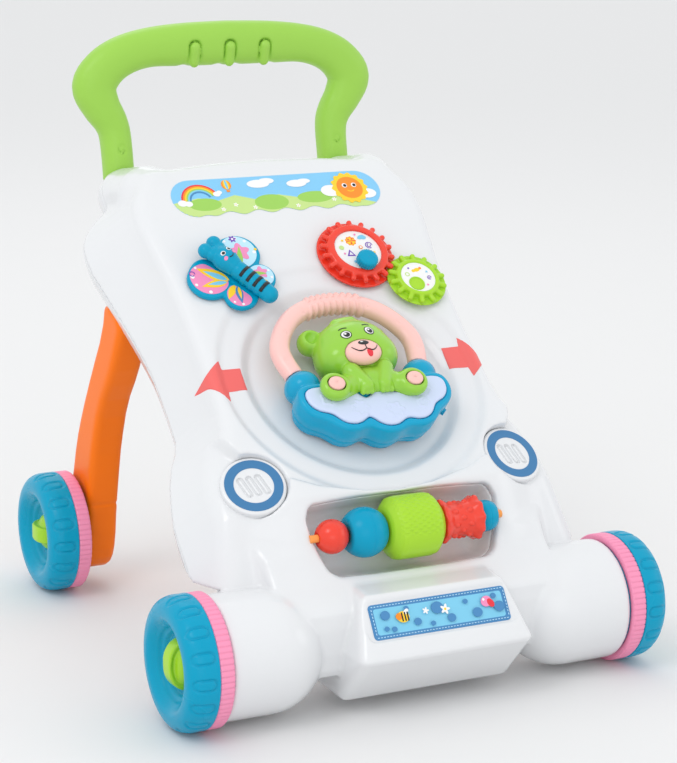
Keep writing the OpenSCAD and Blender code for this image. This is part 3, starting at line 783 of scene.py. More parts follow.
def beads():
    revolve("red_bead", ball_profile(13, 11.8), RED, 64, grooves(6, 0.35, 30), place=along_rod(-62.9),
            body="red_ball", replaced=("bead_red",))
    revolve("blue_bead", ball_profile(19, 14.4), BLUE, 96, place=along_rod(-36), body="blue_ball",
            replaced=("bead_blue_large",))
    revolve("small_blue_bead", ball_profile(12, 7), BLUE, 64, grooves(4, 0.3, 40), place=along_rod(67),
            body="small_blue_ball", replaced=("bead_blue_small",))
    barrel = [(24.4, 0), (24.2, 13), (23.4, 16.2), (20.5, 18.6), (17, 21.4), (14, 22.5), (3.06, 22.5)]
    revolve("green_roller_skin", finely(both_ends(barrel), 0.8), LIME, 288, green_push, place=along_rod(2.5),
            body="green_roller", replaced=("roller_green",))
    spool = [(12.7, 0), (12.9, 4), (13.8, 8.5), (15.8, 12), (16.9, 14.6), (16.4, 16.2), (13.5, 17),
             (3.06, 17)]
    revolve("red_roller_skin", finely(both_ends(spool), 0.8), RED, 192, red_push, place=along_rod(42.5),
            body="red_roller", replaced=("roller_red",))


# ---- Music toy ----

TOY_STEP = detail(0.8)

# The cloud's round lobes as (x, t, radius).
LOBES = [(-44, -40, 20), (-26, -52, 20.5), (4, -56, 21.5), (29, -54, 20.5), (46, -41, 19.5)]


def cloud_field(x, t):
    """The cloud's outline on the panel, flat along its top."""
    cloud = None
    for cx, ct, r in LOBES:
        lobe = np.hypot(x - cx, t - ct) - r
        cloud = lobe if cloud is None else smooth_min(cloud, lobe, 8)
    return smooth_max(cloud + 0.6, t + 27, 6)


def toy_skin(name, field, low, material, replaced):
    skin(name, field, low, TOY_STEP, material, place=panel_matrix(), body="music_toy", replaced=(replaced,))


def toy_shell():
    """The blue housing with its two puffs, hollow above for the key plate, and the cover under it."""
    low, high = (-72, -84, -6), (72, 2, 26)
    x, t, w = grid(low, high, TOY_STEP)
    cloud = cloud_field(x, t) + 2.6 * (1 - smooth_step(w, -6, 12)) - 0.4
    shell = smooth_max(smooth_max(cloud, w - 23.6, 4), -3.4 - w, 1.5)
    groove = np.abs(w - 3.2) - 0.25
    shell = shell + 0.8 * (1 - smooth_step(groove, 0, 0.9))
    for sign in (-1, 1):
        puff = egg(x, t, w, (sign * 50, -21, 8), (14, 13, 15))
        puff = smooth_max(puff, -3 - w, 2)
        shell = smooth_min(shell, puff, 1.5)
    shell = smooth_max(shell, -smooth_max(cloud_field(x, t) + 4.4, 22 - w, 0.6), 0.6)
    out, along = turned_about(x - 46, t + 41, -50)
    hole = rounded_box(out, along, w, (20, 0, 8), (4.6, 6.1, 2.7), 0.5)
    shell = smooth_max(shell, -hole, 0.6)
    toy_skin("toy_cloud", shell, low, TOY_BLUE, "toy_housing")
    back = np.maximum(cloud_field(x, t) + 3.0, np.abs(w + 4.6) - 0.95)
    back = smooth_max(back, -np.maximum(np.abs(x) - 31, np.abs(t + 46) - 17), 0.4)
    for spot in ((-46, -40), (46, -40), (4, -70)):
        back = np.maximum(back, -np.maximum(np.hypot(x - spot[0], t - spot[1]) - 2.4, -w - 5.1))
    toy_skin("toy_back", back, low, TOY_BLUE, "toy_back_cover")


def toy_plate():
    """The lilac plate with five little cloud shapes pressed into it."""
    low, high = (-68, -82, 19), (68, -18, 28)
    x, t, w = grid(low, high, TOY_STEP)
    plate = cloud_field(x, t) + 4.9
    plate = smooth_max(smooth_max(plate, w - 25.4, 2), 22.1 - w, 0.5)
    for cx, ct, r, petals in ((-42, -44, 5, 5), (-19, -55, 6, 7), (9, -60, 6, 6), (34, -56, 4, 5),
                              (40, -46, 4, 4)):
        around = np.arctan2(t - ct, x - cx)
        edge = np.abs(np.hypot(x - cx, t - ct) - r * (1 + 0.18 * np.cos(petals * around)))
        plate = plate - 0.7 * (1 - smooth_step(edge, 0.3, 1.3)) * (w > 24)
    toy_skin("toy_key_plate", plate, low, LILAC, "key_plate")


def toy_ring():
    """The ring handle: ribbed at the top, with a row of shallow round dents down its sides."""
    low, high = (-68, -24, -2), (68, 68, 20)
    x, t, w = grid(low, high, TOY_STEP)
    half = [(0, 55, 7.6), (18, 53, 7.6), (35, 45.5, 7.7), (47.5, 33.5, 7.8), (56, 18, 7.9), (56.5, 4, 7.9),
            (52, -14, 7.4)]
    line = [(-a, b, r) for a, b, r in reversed(half[1:])] + half
    share = curve_field(x, t, along_curve(line, 5))
    ring = ((share ** 2.2 + (np.abs(w - 9) / 7.2) ** 2.2) ** (1 / 2.2) - 1) * 7.4
    ribs = (x > -24) & (x < 26)
    ring = ring - np.where(ribs, 0.9 * np.cos((x - 1) * 2 * np.pi / 5.4) + 0.7, 0) * (share > 0.2)
    for i in range(9):
        angle = math.radians(30 * i - 30)
        dent = np.hypot(x - 57 * math.cos(angle), t - 2 - 51 * math.sin(angle)) - 1.6
        ring = ring + 0.5 * (1 - smooth_step(np.abs(dent), 0.2, 1.1)) * (w > 12) * ~ribs
    ring = smooth_max(ring, -22 - t, 1)
    for sign in (-1, 1):
        puff = egg(x, t, w, (sign * 50, -21, 8), (14.3, 13.3, 15.3))
        ring = np.maximum(ring, -puff)
    toy_skin("toy_ring_skin", ring, low, RING_PINK, "toy_handle")


# The middles of the bear's soles on the panel.
FEET = [(-35.5, -37), (30, -39.5)]


def bear_head(x, t, w):
    head = egg(x, t, w, (1, 5, 11), (32.5, 27.5, 24))
    cheeks = [egg(x, t, w, (side, -4, 14), (18, 16, 19)) for side in (-14, 16)]
    head = smooth_min(head, smooth_min(*cheeks, 4), 6)
    ear = smooth_min(ball(x, t, w, (-29, 20, 8), 10.5), ball(x, t, w, (29, 22, 3), 9.5), 1)
    hollow = ball(x, t, w, (-29.5, 20, 18.5), 6.4)
    ear = smooth_max(ear, -hollow, 2)
    brow = capsule(x, t, w, (-9, 28, 21), (5, 29.5, 21), 2.6)
    return smooth_min(smooth_min(head, ear, 2), brow, 5)


def bear_body(x, t, w):
    body = egg(x, t, w, (0, -30, 13), (23, 17, 17))
    for sign in (-1, 1):
        arm = capsule(x, t, w, (sign * 14, -21, 24), (sign * 7.5 - 1, -38, 28.5), 7.5, 6.0)
        body = smooth_min(body, arm, 2.5)
        for finger in (-1, 0, 1):
            knuckle = (sign * 8 - 1 + finger * 3.1, -38, 30.5)
            tip = (sign * 8.5 - 1 + finger * 3.8, -43, 28)
            body = smooth_min(body, capsule(x, t, w, knuckle, tip, 2.2), 1.0)
    for (fx, ft), hip in zip(FEET, ((-15, -31), (14, -32))):
        leg = capsule(x, t, w, (*hip, 20), (fx * 0.85, ft, 26), 10.5, 9)
        foot = smooth_max(np.hypot(x - fx, t - ft) - 11.8, np.abs(w - 30) - 5.5, 6)
        body = smooth_min(body, smooth_min(leg, foot, 2.5), 2)
    lap = egg(x, t, w, (0, -36.5, 25), (17, 6, 5))
    return smooth_min(body, lap, 1.5)


def bear_field(x, t, w):
    """The sitting bear, with a recess in each sole deep enough for its pad to be pressed."""
    bear = smooth_min(bear_head(x, t, w), bear_body(x, t, w), 1.5)
    for fx, ft in FEET:
        recess = smooth_max(np.hypot((x - fx) / 1.12, t - ft) - 6.8, 30.4 - w, 0.4)
        bear = smooth_max(bear, -recess, 0.5)
    return bear


def bear_skin():
    """The bear sits on the cloud, and its pink muzzle is set into its face."""
    low, high = (-52, -56, -5), (46, 40, 40)
    x, t, w = grid(low, high, TOY_STEP)
    bear = smooth_max(bear_field(x, t, w), -3.4 - w, 1)
    cloud = smooth_max(cloud_field(x, t) + 0.3, w - 25.2, 0.5)
    bear = np.maximum(bear, 0.1 - cloud)
    muzzle = muzzle_field(x, t, w)
    bear = smooth_max(bear, 0.15 - muzzle, 0.6)
    toy_skin("bear_skin", bear, low, BEAR, "bear")
    shown = smooth_max(muzzle, -(bear_field(x, t, w) + 2.2), 0.6)
    toy_skin("bear_muzzle_skin", shown, low, SKIN_PINK, "bear_muzzle")


def muzzle_field(x, t, w):
    return egg(x, t, w, (-1.5, -8.4, 30.5), (15.4, 10.8, 8.0))


def surface_height(field, x, t, high, low):
    """How high a field's surface is at a point of the panel, searching down from high to low."""
    heights = np.arange(high, low, -0.05)
    inside = field(np.full_like(heights, x), np.full_like(heights, t), heights) < 0
    return float(heights[inside.argmax()]) if inside.any() else float(low)


def face_prints():
    """Eyes, nose, smile and tongue, laid on the moulded face."""
    def on_face(x, t):
        return surface_height(bear_field, x, t, 38, 10) + 0.05

    def on_muzzle(x, t):
        return max(surface_height(muzzle_field, x, t, 41, 25) + 0.05, on_face(x, t))

    def over_muzzle(x, t):
        return on_muzzle(x, t) + 0.12

    def draw(name, patches, lift):
        print_label(name, patches, panel_matrix(), thickness=0.25, layer=0.05, lift=lift, body="music_toy")

    for label, ex, et in (("left", -11, 7.5), ("right", 9, 9)):
        eye = [(oval(ex, et, 4.3, 4.1), INK), (oval(ex, et, 3.6, 3.4), CLOUD),
               (oval(ex + 0.4, et - 0.2, 2.5), INK), (oval(ex - 0.4, et + 0.8, 0.9), CLOUD)]
        draw(f"bear_eye_{label}", eye, on_face)
        draw(f"bear_brow_{label}", [(arc_band(ex, et + 1.5, 5.4, 6.3, 60, 125), INK)], on_face)
    draw("bear_nose", [(oval(-2.0, -4.2, 4.4, 2.5), INK), (oval(-3.2, -3.3, 1.2, 0.55), CLOUD)], on_muzzle)
    smile = []
    for i in range(-16, 17):
        share = abs(i) / 16
        smile.append((-1.6 + 11 * i / 16, -9.6 - 8 * share * (1 - share) + 3.4 * share ** 3))
    smile += [(px, pt - 0.85) for px, pt in reversed(smile)]
    draw("bear_lip", [([(-2.1, -5.6), (-2.0, -10.2), (-1.2, -10.2), (-1.3, -5.6)], INK)], on_muzzle)
    draw("bear_smile", [(smile, INK)], over_muzzle)
    draw("bear_tongue", [(oval(0.6, -13.4, 2.4, 3.1, 14), CRIMSON)], on_muzzle)


def paw_pads():
    profile = [(0.01, 33.0), (5.6, 33.0), (5.9, 33.6), (5.9, 35.6), (5.4, 36.4), (3.5, 36.9), (0.01, 37.1)]
    for label, (fx, ft) in zip(("left", "right"), FEET):
        place = on_panel(fx, ft) @ Matrix.Diagonal((1.12, 1, 1, 1))
        revolve(f"paw_pad_{label}", profile, SKIN_PINK, 40, place=place, body=f"paw_{label}",
                replaced=(f"paw_button_{label}",))


# ---- Gears, crank knob and butterfly ----

GEAR_LARGE = (44.5, 106.5)
GEAR_SPAN = 53.3
TEETH_LARGE, TEETH_SMALL = 18, 14
GEAR_TURN = math.degrees(math.atan2(-31.5, 43))
GEAR_SMALL = (GEAR_LARGE[0] + GEAR_SPAN * math.cos(math.radians(GEAR_TURN)),
              GEAR_LARGE[1] + GEAR_SPAN * math.sin(math.radians(GEAR_TURN)))


def gear_skin(name, centre, teeth, turn, crown, top, floor, dish, skirt, material, dimple=None):
    """A raised crown with rounded teeth round it, over a thin skirt of (radius, low, high)."""
    step = detail(0.55)
    pitch = GEAR_SPAN * teeth / (TEETH_LARGE + TEETH_SMALL)
    half = pitch + 3.5
    low, high = (-half, -half, 0), (half, half, top + 1)
    x, y, w = grid(low, high, step)
    r, angle = np.hypot(x, y), np.arctan2(y, x) - math.radians(turn)
    spread = 2 * math.pi / teeth
    off = np.abs((angle + spread / 2) % spread - spread / 2) * r
    tooth = np.sqrt(off ** 2 + (w - top + 3.5) ** 2 + np.maximum(r - pitch + 0.4, 0) ** 2) - 2.3
    gear = smooth_max(smooth_max(r - crown, w - top, 2.4), 0.6 - w, 0.4)
    gear = smooth_min(gear, tooth, 1.0)
    reach, under, over = skirt
    slab = np.abs(w - (under + over) / 2) - (over - under) / 2
    gear = smooth_min(gear, smooth_max(r - reach, slab, 0.8), 0.8)
    gear = smooth_max(gear, -smooth_max(r - floor, dish - w, 0.5), 0.9)
    gear = np.maximum(gear, -np.maximum(r - 4.3, w - 6.6))
    if dimple:
        cup = ball(x, y, w, (*dimple, 12.2), 6.6)
        lip = np.hypot(np.hypot(x - dimple[0], y - dimple[1]) - 5.6, w - dish - 0.6) - 1.1
        gear = smooth_max(smooth_min(gear, lip, 0.8), -cup, 0.5)
    place = on_panel(*centre)
    skin(f"{name}_skin", gear, low, step, material, place=place, body=name, replaced=(name,))
    return place


def large_gear():
    """The red gear and its printed disc of candies, a triangle and swirls."""
    place = gear_skin("gear_large", GEAR_LARGE, TEETH_LARGE, GEAR_TURN, 26, 10.2, 20, 8, (32.9, 0.6, 2.6),
                      RED)
    prints = [(oval(0, 0, 19.8, count=64), PAPER)]
    prints += [(flower(-3, 9.8, 4.6, 9, 0.08), AMBER), (oval(-3, 9.8, 3.6), SUN),
               (box(-6.6, 9.4, 0.6, 10.3), CRIMSON)]
    prints += dots(CRIMSON, (-4.6, 11.6, 0.8), (-1.4, 11.8, 0.8), (-3, 7.6, 0.9))
    prints += [([(-11, -5.2), (-3.6, -5.6), (-7.4, 1.2)], VIOLET),
               ([(-9.0, -4.2), (-5.4, -4.4), (-7.4, -1.0)], PAPER),
               (arc_band(11.4, 4.2, 2.6, 3.2, 0, 300), VIOLET),
               (arc_band(11.4, 4.2, 1.2, 1.8, 90, 380), VIOLET)]
    prints += dots(AQUA, (7.2, 13.0, 3.4, 1.9, 20), (9.6, 12.2, 2.2, 1.6, 20))
    prints += dots(MEADOW, (-13.4, 3.6, 2.1)) + dots(ROSE, (-12.6, -2.6, 0.9)) + dots(AMBER, (3.4, 2.6, 1.7))
    prints += dots(PAPER, (3.4, 2.6, 1.0)) + dots(SUN, (-10.4, 10.6, 1.0), (13.4, -3.4, 1.0))
    prints += dots(ROSE, (2.6, 15.8, 0.9)) + dots(AQUA, (-6.4, -11.4, 1.2)) + dots(MEADOW, (11, -9.6, 1.3))
    print_label("gear_large_print", prints, place, base=8.1, layer=0.03, body="gear_large",
                replaced=("gear_large_disc",))


def small_gear():
    """The green gear, turned so that its teeth fall between the red one's, with a dimple for a fingertip."""
    meshed = GEAR_TURN + 180 + 180 / TEETH_SMALL
    place = gear_skin("gear_small", GEAR_SMALL, TEETH_SMALL, meshed, 18.6, 9.2, 14.9, 7.9, (25.4, 3.0, 4.0),
                      LIME, dimple=(-3.6, -6.4))
    prints = [(oval(0, 0, 14.6, count=64), PAPER), (oval(-3.6, -6.4, 6.4, count=32), LIME)]
    prints += dots(SUN, (1.2, 7.2, 3.0, 1.8, 15), (-2.2, 6.4, 1.5)) + dots(AMBER, (4.6, 8.6, 1.2))
    prints += [(arc_band(-8.6, 3.4, 1.3, 2.1, 0, 359), MEADOW),
               (arc_band(9.6, -1.6, 1.5, 2.0, 0, 300), VIOLET),
               (arc_band(9.6, -1.6, 0.4, 0.9, 90, 390), VIOLET), (oval(-5.6, 9.4, 0.8), VIOLET),
               ([(8.0, 3.8), (10.4, 3.8), (9.2, 5.8)], AQUA), (oval(5.6, -8.6, 0.9), ROSE)]
    print_label("gear_small_print", prints, place, base=8.0, layer=0.03, body="gear_small",
                replaced=("gear_small_disc",))


def crank_knob():
    profile = finely([(3.06, 10.4), (8.2, 10.4), (8.6, 11), (8.6, 15.6), (8.0, 17.0), (6.0, 17.9),
                      (0.01, 18.0), (0.01, 15.4), (3.06, 15.4)], 0.9)

    def flutes(r, h, angle):
        return -0.45 * (r > 7.4) * max(0, math.cos(24 * angle)) ** 2
    place = on_panel(GEAR_LARGE[0] + 1.5, GEAR_LARGE[1] - 14)
    revolve("crank_knob_skin", profile, BLUE, 192, flutes, place=place, body="crank", replaced=("gear_knob",))


BUTTERFLY = (-65, 93)
STRIPE_PITCH = 6.6


def wing_field(x, y):
    """Both wings of a butterfly whose head points along -x."""
    side = np.abs(y)
    upper = smooth_min(np.hypot(x + 13, side - 21) - 17.5, np.hypot(x + 20, side - 14) - 12, 5)
    lower = smooth_min(np.hypot(x - 13, side - 15) - 12.5, np.hypot(x - 17, side - 11) - 9, 4)
    return smooth_min(smooth_min(upper, lower, 2.2), smooth_max(np.abs(x) - 24, side - 8, 3), 4)


def butterfly():
    """The wing plate, and the body with its round head, two feelers and four grooves."""
    step = detail(0.7)
    low, high = (-42, -42, 0), (40, 42, 23)
    x, y, w = grid(low, high, step)
    place = on_panel(*BUTTERFLY) @ Matrix.Rotation(math.radians(-53.8), 4, "Z")
    wings = smooth_max(smooth_max(wing_field(x, y), w - 5.2, 2.2), 1 - w, 1)
    wings = np.maximum(wings, -np.maximum(np.hypot(x, y) - 4.3, w - 4.1))
    skin("butterfly_wing_plate", wings, low, step, BLUE, place=place, body="butterfly",
         replaced=("butterfly_wings",))
    head = egg(x, y, w, (-15, 0, 12), (12, 10, 9))
    body = capsule(x, y, w, (-8, 0, 11), (30, 0, 10), 7.6, 7.0)
    body = body + 0.5 * (1 - smooth_step(np.abs(x + 3), 0.3, 1.4))
    body = smooth_min(body, head, 2)
    neck = capsule(x, y, w, (-24.5, -5, 12.5), (-24.5, 5, 12.5), 5.2)
    body = smooth_min(body, neck, 1.2)
    for sign in (-1, 1):
        knob = ball(x, y, w, (-30.5, sign * 5.6, 12.5), 6.0)
        body = smooth_min(body, knob, 1.0)
    for i in range(4):
        groove = np.abs(x - 4 - i * STRIPE_PITCH) - 0.7
        body = body + 0.55 * (1 - smooth_step(groove, 0, 1.0)) * (x > 0)
    body = smooth_max(body, 5.0 - w, 1)
    skin("butterfly_body_skin", body, low, step, BLUE, place=place, body="butterfly",
         replaced=("butterfly_body",))
    paint_butterfly(place)


def paint_butterfly(place):
    """Flowers on the blue wings and long feathers on the pink ones, then the body's stripes and face."""
    upper = [(-28, 14), (-30, 24), (-24, 33), (-13, 36.5), (-3, 32), (2, 22), (0, 10), (-12, 9), (-24, 10)]
    lower = [(2, 10), (3, 20), (10, 26), (19, 24.5), (24, 17), (22, 9), (12, 9)]
    spots = dots(CLOUD, (-24, 29, 1.7), (-17, 33, 1.3), (-5, 30, 1.5), (-28, 20, 1.1), (20, 20, 1.2),
                 (14, 23.5, 1.0))
    feathers = [(petal(-2, 9, -27, 20, 5.0), SUN), (petal(-2, 11, -13, 31, 3.6), SUN),
                (petal(-3, 10, -22, 18, 2.6), AQUA), (petal(-2, 12, -11, 26, 1.8), AQUA),
                (petal(4, 10, 9, 25, 2.8), SUN), (petal(6, 9, 19, 20, 3.0), DENIM),
                (petal(7, 9, 16, 17, 1.4), SUN), (arc_band(-26, 27, 1.8, 2.5, 0, 320), VIOLET)]
    flowers = [(flower(-13, 21, 7.4, 5, 0.22), ROSE), (flower(11, 17, 5.0, 5, 0.22), ROSE),
               (petal(-4, 10, -17, 25, 2.4), GRASS), (petal(6, 10, 15, 20, 1.8), GRASS),
               (flower(-25, 27, 2.6, 6, 0.3), VIOLET), (oval(-25, 27, 1.0), CLOUD)]
    flowers += dots(SUN, (-6, 33, 1.2), (19, 13, 1.2))
    prints = []
    for side, ground, pictures in ((-1, ROSE, feathers), (1, PALE, flowers)):
        wing = [(arc_through(upper), ground), (arc_through(lower), ground)] + spots + pictures
        prints += [([(px, side * py) for px, py in outline], colour) for outline, colour in wing]
    print_label("butterfly_print", prints, place, base=5.0, layer=0.02, thickness=0.35, body="butterfly",
                replaced=("wing_labels",))
    for i in range(4):
        stripe(f"butterfly_stripe_{i}", 4 + i * STRIPE_PITCH, place)
    butterfly_face(place)


def stripe(name, x, place):
    """A black band painted round the top of the body."""
    points, faces = [], []
    count = 18
    for i in range(count + 1):
        angle = math.radians(-62 + 124 * i / count)
        for dx, r in ((-1.3, 7.0), (-1.3, 7.55), (1.3, 7.55), (1.3, 7.0)):
            points.append((x + dx, r * math.sin(angle), 10.6 - 0.02 * x + r * math.cos(angle)))
    for i in range(count):
        for k in range(4):
            a, b = i * 4 + k, i * 4 + (k + 1) % 4
            faces.append((a, b, b + 4, a + 4))
    faces += [(3, 2, 1, 0), tuple(count * 4 + k for k in range(4))]
    mesh_object(name, points, faces, INK, place=place, body="butterfly")


def butterfly_face(place):
    def on_head(x, y):
        return 12.1 + 9 * math.sqrt(max(1 - ((x + 15) / 12) ** 2 - (y / 10) ** 2, 0))

    def draw(name, patches):
        print_label(f"butterfly_{name}", patches, place, thickness=0.3, lift=on_head, body="butterfly")

    for label, y in (("left", -3.6), ("right", 3.6)):
        draw(f"eye_{label}", [(oval(-17, y, 1.9), CLOUD), (oval(-16.8, y, 1.3), INK)])
        draw(f"cheek_{label}", [(oval(-12.6, y * 1.45, 1.5), ROSE)])
    draw("smile", [(arc_band(-14.4, 0, 3.6, 4.2, -38, 38), INK)])


# ---- Prints on the body ----

def top_strip():
    """A strip with a rainbow, a balloon, clouds, hills and a smiling sun, wavy along its lower edge."""
    ends = [min(1, i / 5, (60 - i) / 5) for i in range(61)]
    wave = [(-74 + 148 * i / 60, 158 + 1.8 * ends[i] * (1 + math.sin(i * 0.62 + 1.2))) for i in range(61)]
    right = arc(74, 177, 19, -80, 90, 12)
    hills = [(-92, 173), (-70, 177), (-55, 173), (-38, 178), (-20, 172), (0, 176), (20, 171), (40, 176),
             (58, 171), (72, 165.5)]
    prints = [(arc(-74, 177, 19, 90, 270, 12) + wave + right, SKY),
              (arc(-74, 177, 19, 194, 270, 12) + wave + right[:3] + hills[::-1], MEADOW)]
    prints += dots(GRASS, (-66, 170, 14, 6.5), (-8, 168.5, 15, 8), (32, 171, 16, 6))
    for cx, ct in ((-40, 168), (-24, 164), (14, 163), (-52, 164), (48, 167)):
        prints += [(flower(cx, ct, 1.6, 5), CLOUD), (oval(cx, ct, 0.5), SUN)]
    for i, colour in enumerate((CRIMSON, AMBER, SUN, GRASS, AQUA, DENIM)):
        outer = 17 - i * 1.4
        prints.append((arc_band(-68, 174, outer - 1.5, outer, 22, 178), colour))
    for cx, ct, r in ((-85, 172.5, 4), (-80, 171.5, 3.4), (-53, 180, 3.2), (-50.5, 181.5, 2.4)):
        prints.append((oval(cx, ct, r, r * 0.8), CLOUD))
    prints += [(oval(-42, 189, 4.2, 5), AMBER), (oval(-42, 189, 2.6, 5), SUN), (oval(-42, 189, 1.1, 5), AQUA),
               ([(-43.2, 181.5), (-40.8, 181.5), (-40.4, 183.4), (-43.6, 183.4)], AMBER)]
    for cx, ct, rx in ((-14, 188, 10), (-6, 190.5, 7), (20, 186, 9), (27, 188, 6)):
        prints.append((oval(cx, ct, rx, rx * 0.42), CLOUD))
    prints += dots(CLOUD, (48, 176, 9, 6), (80, 171, 8, 5))
    prints += [(flower(66, 178, 15.5, 14, 0.07), SUN), (oval(66, 178, 11.5), AMBER)]
    for cx in (62, 70.5):
        prints += [(oval(cx, 180.5, 2.3), CLOUD), (oval(cx + 0.3, 180.4, 1.5), INK)]
    prints.append((arc_band(66, 178, 3.6, 4.4, 220, 320), SUN))
    print_label("top_strip_print", prints, panel_matrix(), layer=0.012, thickness=0.35,
                replaced=("top_label",))


def arrow_stickers():
    """Two stickers cut from a thin layer of the shell's own surface, so that they follow its rounded edge."""
    step = detail(0.6)
    low, high = (80, -26, -34), (140, 26, 4)
    x, t, w = grid(low, high, step)
    y, z = panel_to_row(t, w)
    surface = panel_body(x, t, w, y, z)
    for side, tip in (("right", (121.5, -4)), ("left", (122.5, 3))):
        arrow = [(88, -8.5), (88, 11), (103.4, 11.2), (104, 18.5), tip, (105.4, -18.5), (104, -9.3)]
        sticker = np.maximum(np.abs(surface + 0.3) - 0.65, polygon_field(x, t, arrow) - 0.3)
        corner = low
        if side == "left":
            sticker = sticker[::-1]
            corner = (-low[0] - step * (sticker.shape[0] - 1), low[1], low[2])
        skin(f"arrow_sticker_{side}", sticker, corner, step, CORAL, place=panel_matrix(),
             replaced=("arrow_labels",))


def rounded_plate(half_x, half_y, r):
    """A rectangle with round corners, anticlockwise from the upper right one."""
    x, y = half_x - r, half_y - r
    corners = ((x, y, 0), (-x, y, 90), (-x, -y, 180), (x, -y, 270))
    return [point for cx, cy, start in corners for point in arc(cx, cy, r, start, start + 90, 15)]


def badge():
    """The print set into the bumper: dots, stitches, a bee and a little bird."""
    prints = [(rounded_plate(57, 13.2, 3), DENIM), (rounded_plate(53.4, 9.8, 2), AQUA)]
    for i in range(44):
        x = -53.75 + i * 2.5
        prints += [(box(x - 0.7, y - 0.25, x + 0.7, y + 0.25), PALE) for y in (-11.5, 11.5)]
    for i in range(8):
        y = -8.75 + i * 2.5
        prints += [(box(x - 0.25, y - 0.7, x + 0.25, y + 0.7), PALE) for x in (-55.2, 55.2)]
    for cx, cy, r in ((-45, 4, 3.8), (-46, -6, 2), (-40, -7, 2.2), (-27, 7, 2), (-20, -4, 3), (-2, 4, 5),
                      (8, -5, 3.4), (22, 5.4, 2), (30, -4, 4), (49, -2, 4.4), (46, 6.5, 2.2), (-8, -7, 2)):
        prints.append((oval(cx, cy, r, r * 0.9), DENIM))
    prints += [(oval(-31, 1, 5, 4.2), SUN), (oval(-34.4, 1.6, 2.6), AMBER),
               (oval(-28, 4.6, 2.6, 1.6, 40), CLOUD)]
    prints += [(box(x, -2.4, x + 1.2, 4.4), INK) for x in (-32.4, -30, -27.8)]
    prints += [(oval(39, 3, 4.6, 4, 20), ROSE), (oval(42.4, 1.4, 2.6, 3.6, 30), CRIMSON),
               (oval(37, 4.6, 1.0), CLOUD)]
    prints += [(flower(4, 2, 3.0, 5), CLOUD), (oval(4, 2, 1.0), SUN), (flower(-12, 3, 2.0, 5), CLOUD)]
    print_label("badge_print", prints, tilted(BADGE_ORIGIN, BADGE_TILT), base=-0.4, layer=0.012,
                thickness=0.35, replaced=("badge_label",))


def headlights():
    """Domed white lamps with three slanting pills in grooves, and a blue ring printed round them."""
    step = detail(0.55)
    low, high = (-27, -27, -14), (27, 27, 2)
    x, y, w = grid(low, high, step)
    lamp = smooth_max(smooth_max(np.hypot(x, y) - 25, w + 0.3, 2.2), -12.5 - w, 0.6)
    for i in (-1, 0, 1):
        pill = capsule(x, y, w * 0, (i * 7.0 + 1.7, -6.5, 0), (i * 7.0 - 1.7, 6.5, 0), 2.7)
        lamp = smooth_max(lamp, -smooth_max(pill, -2.3 - w, 0.3), 0.6)
        lamp = smooth_min(lamp, smooth_max(pill + 1.6, w + 0.8, 0.7), 0.3)
    for sign, label in ((-1, "left"), (1, "right")):
        place = on_panel(sign * LAMP_SPOT[0], LAMP_SPOT[1], -5.5)
        place = place @ Matrix.Rotation(math.radians(sign * 8), 4, "Y")
        skin(f"lamp_{label}", lamp, low, step, WHITE, place=place, replaced=(f"headlight_{label}",))
        ring = arc_band(0, 0, 15.2, 22.2, 0, 359.9, 72)
        print_label(f"lamp_ring_{label}", [(ring, NAVY)], place, base=-0.5, thickness=0.5,
                    replaced=(f"light_ring_{label}",))


# ---- Camera and light ----

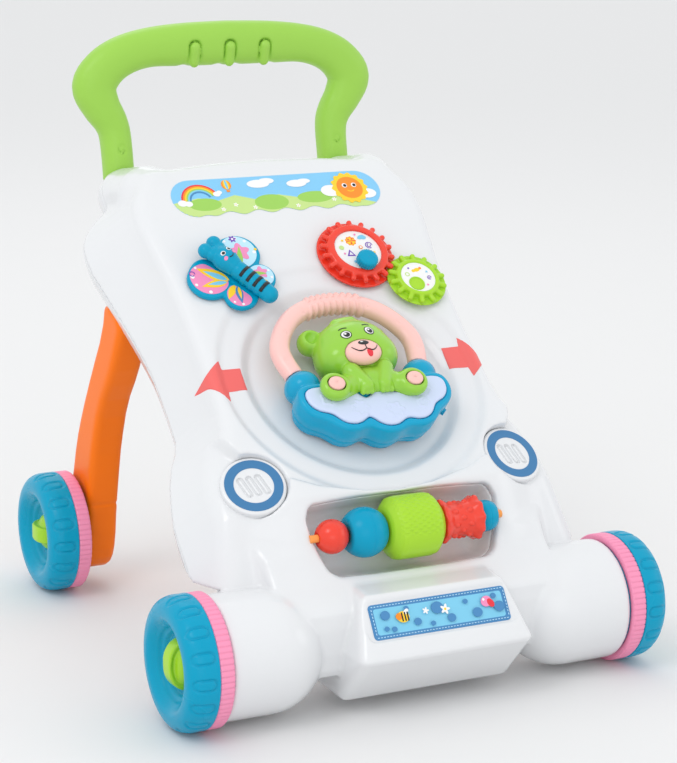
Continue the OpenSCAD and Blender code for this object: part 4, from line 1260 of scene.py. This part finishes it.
def add_camera():
    """The camera behind the picture, solved from the four wheels and the symmetric pairs of points."""
    data = bpy.data.cameras.new("photo_view")
    data.sensor_width = 36
    data.lens = 107.92
    cam = bpy.data.objects.new("photo_view", data)
    bpy.context.scene.collection.objects.link(cam)
    azimuth, elevation, roll = (math.radians(v) for v in (-26.592, 13.607, 0.7335))
    back = Vector((math.sin(azimuth) * math.cos(elevation), -math.cos(azimuth) * math.cos(elevation),
                   math.sin(elevation)))
    right = (-back).cross(Vector((0, 0, 1))).normalized()
    up = right.cross(-back)
    right, up = math.cos(roll) * right + math.sin(roll) * up, math.cos(roll) * up - math.sin(roll) * right
    turn = Matrix((right, up, back)).transposed()
    cam.matrix_world = Matrix.Translation((-0.7814, -1.5963, 0.6340)) @ turn.to_4x4()
    bpy.context.scene.camera = cam


def area_light(name, place, size, power, target=(0, 0, 0.2)):
    data = bpy.data.lights.new(name, "AREA")
    data.shape = "DISK"
    data.size = size
    data.energy = power
    light = bpy.data.objects.new(name, data)
    bpy.context.scene.collection.objects.link(light)
    light.location = place
    light.rotation_euler = (Vector(target) - Vector(place)).to_track_quat("-Z", "Y").to_euler()


def add_studio():
    """A pale floor, an even white sky and four soft lamps."""
    bpy.ops.mesh.primitive_plane_add(size=14, location=(0, 0, -0.0005))
    floor = bpy.context.object
    floor.name = "studio_floor"
    floor.data.materials.append(principled("floor_paper", (0.8, 0.8, 0.8), 0.75, colour_spread=0.004))
    world = bpy.data.worlds.new("studio")
    world.use_nodes = True
    world.node_tree.nodes["Background"].inputs["Color"].default_value = (0.98, 0.99, 1.0, 1)
    world.node_tree.nodes["Background"].inputs["Strength"].default_value = 1.0
    bpy.context.scene.world = world
    area_light("key", (-1.6, -0.9, 2.2), 1.2, 11)
    area_light("side", (2.2, -1.2, 1.0), 1.0, 2)
    area_light("front", (-0.9, -2.4, 0.8), 1.6, 4)
    area_light("top_back", (0.4, 1.7, 2.0), 1.4, 4)
    bpy.context.scene.view_settings.view_transform = "Standard"


def shown_cad_nodes():
    """Procedural materials for the CAD solids that are shown as they are."""
    looks = {STEEL: ("front_axle", "rear_axle_left", "rear_axle_right", "shell_screws", "butterfly_pivot",
                     "gear_pivots", "batteries"),
             ROD: ("bead_rod",), TOY_BLUE: ("battery_door", "power_switch"), BOARD: ("circuit_board",),
             DARK: ("speaker",)}
    for material, names in looks.items():
        for name in names:
            for place in nodes[name].material_slots:
                place.material = material


white_body()
bead_tray()
push_handle()
rear_legs()
wheels()
beads()
toy_shell()
toy_plate()
toy_ring()
bear_skin()
face_prints()
paw_pads()
large_gear()
small_gear()
crank_knob()
butterfly()
top_strip()
arrow_stickers()
badge()
headlights()
shown_cad_nodes()
add_camera()
add_studio()
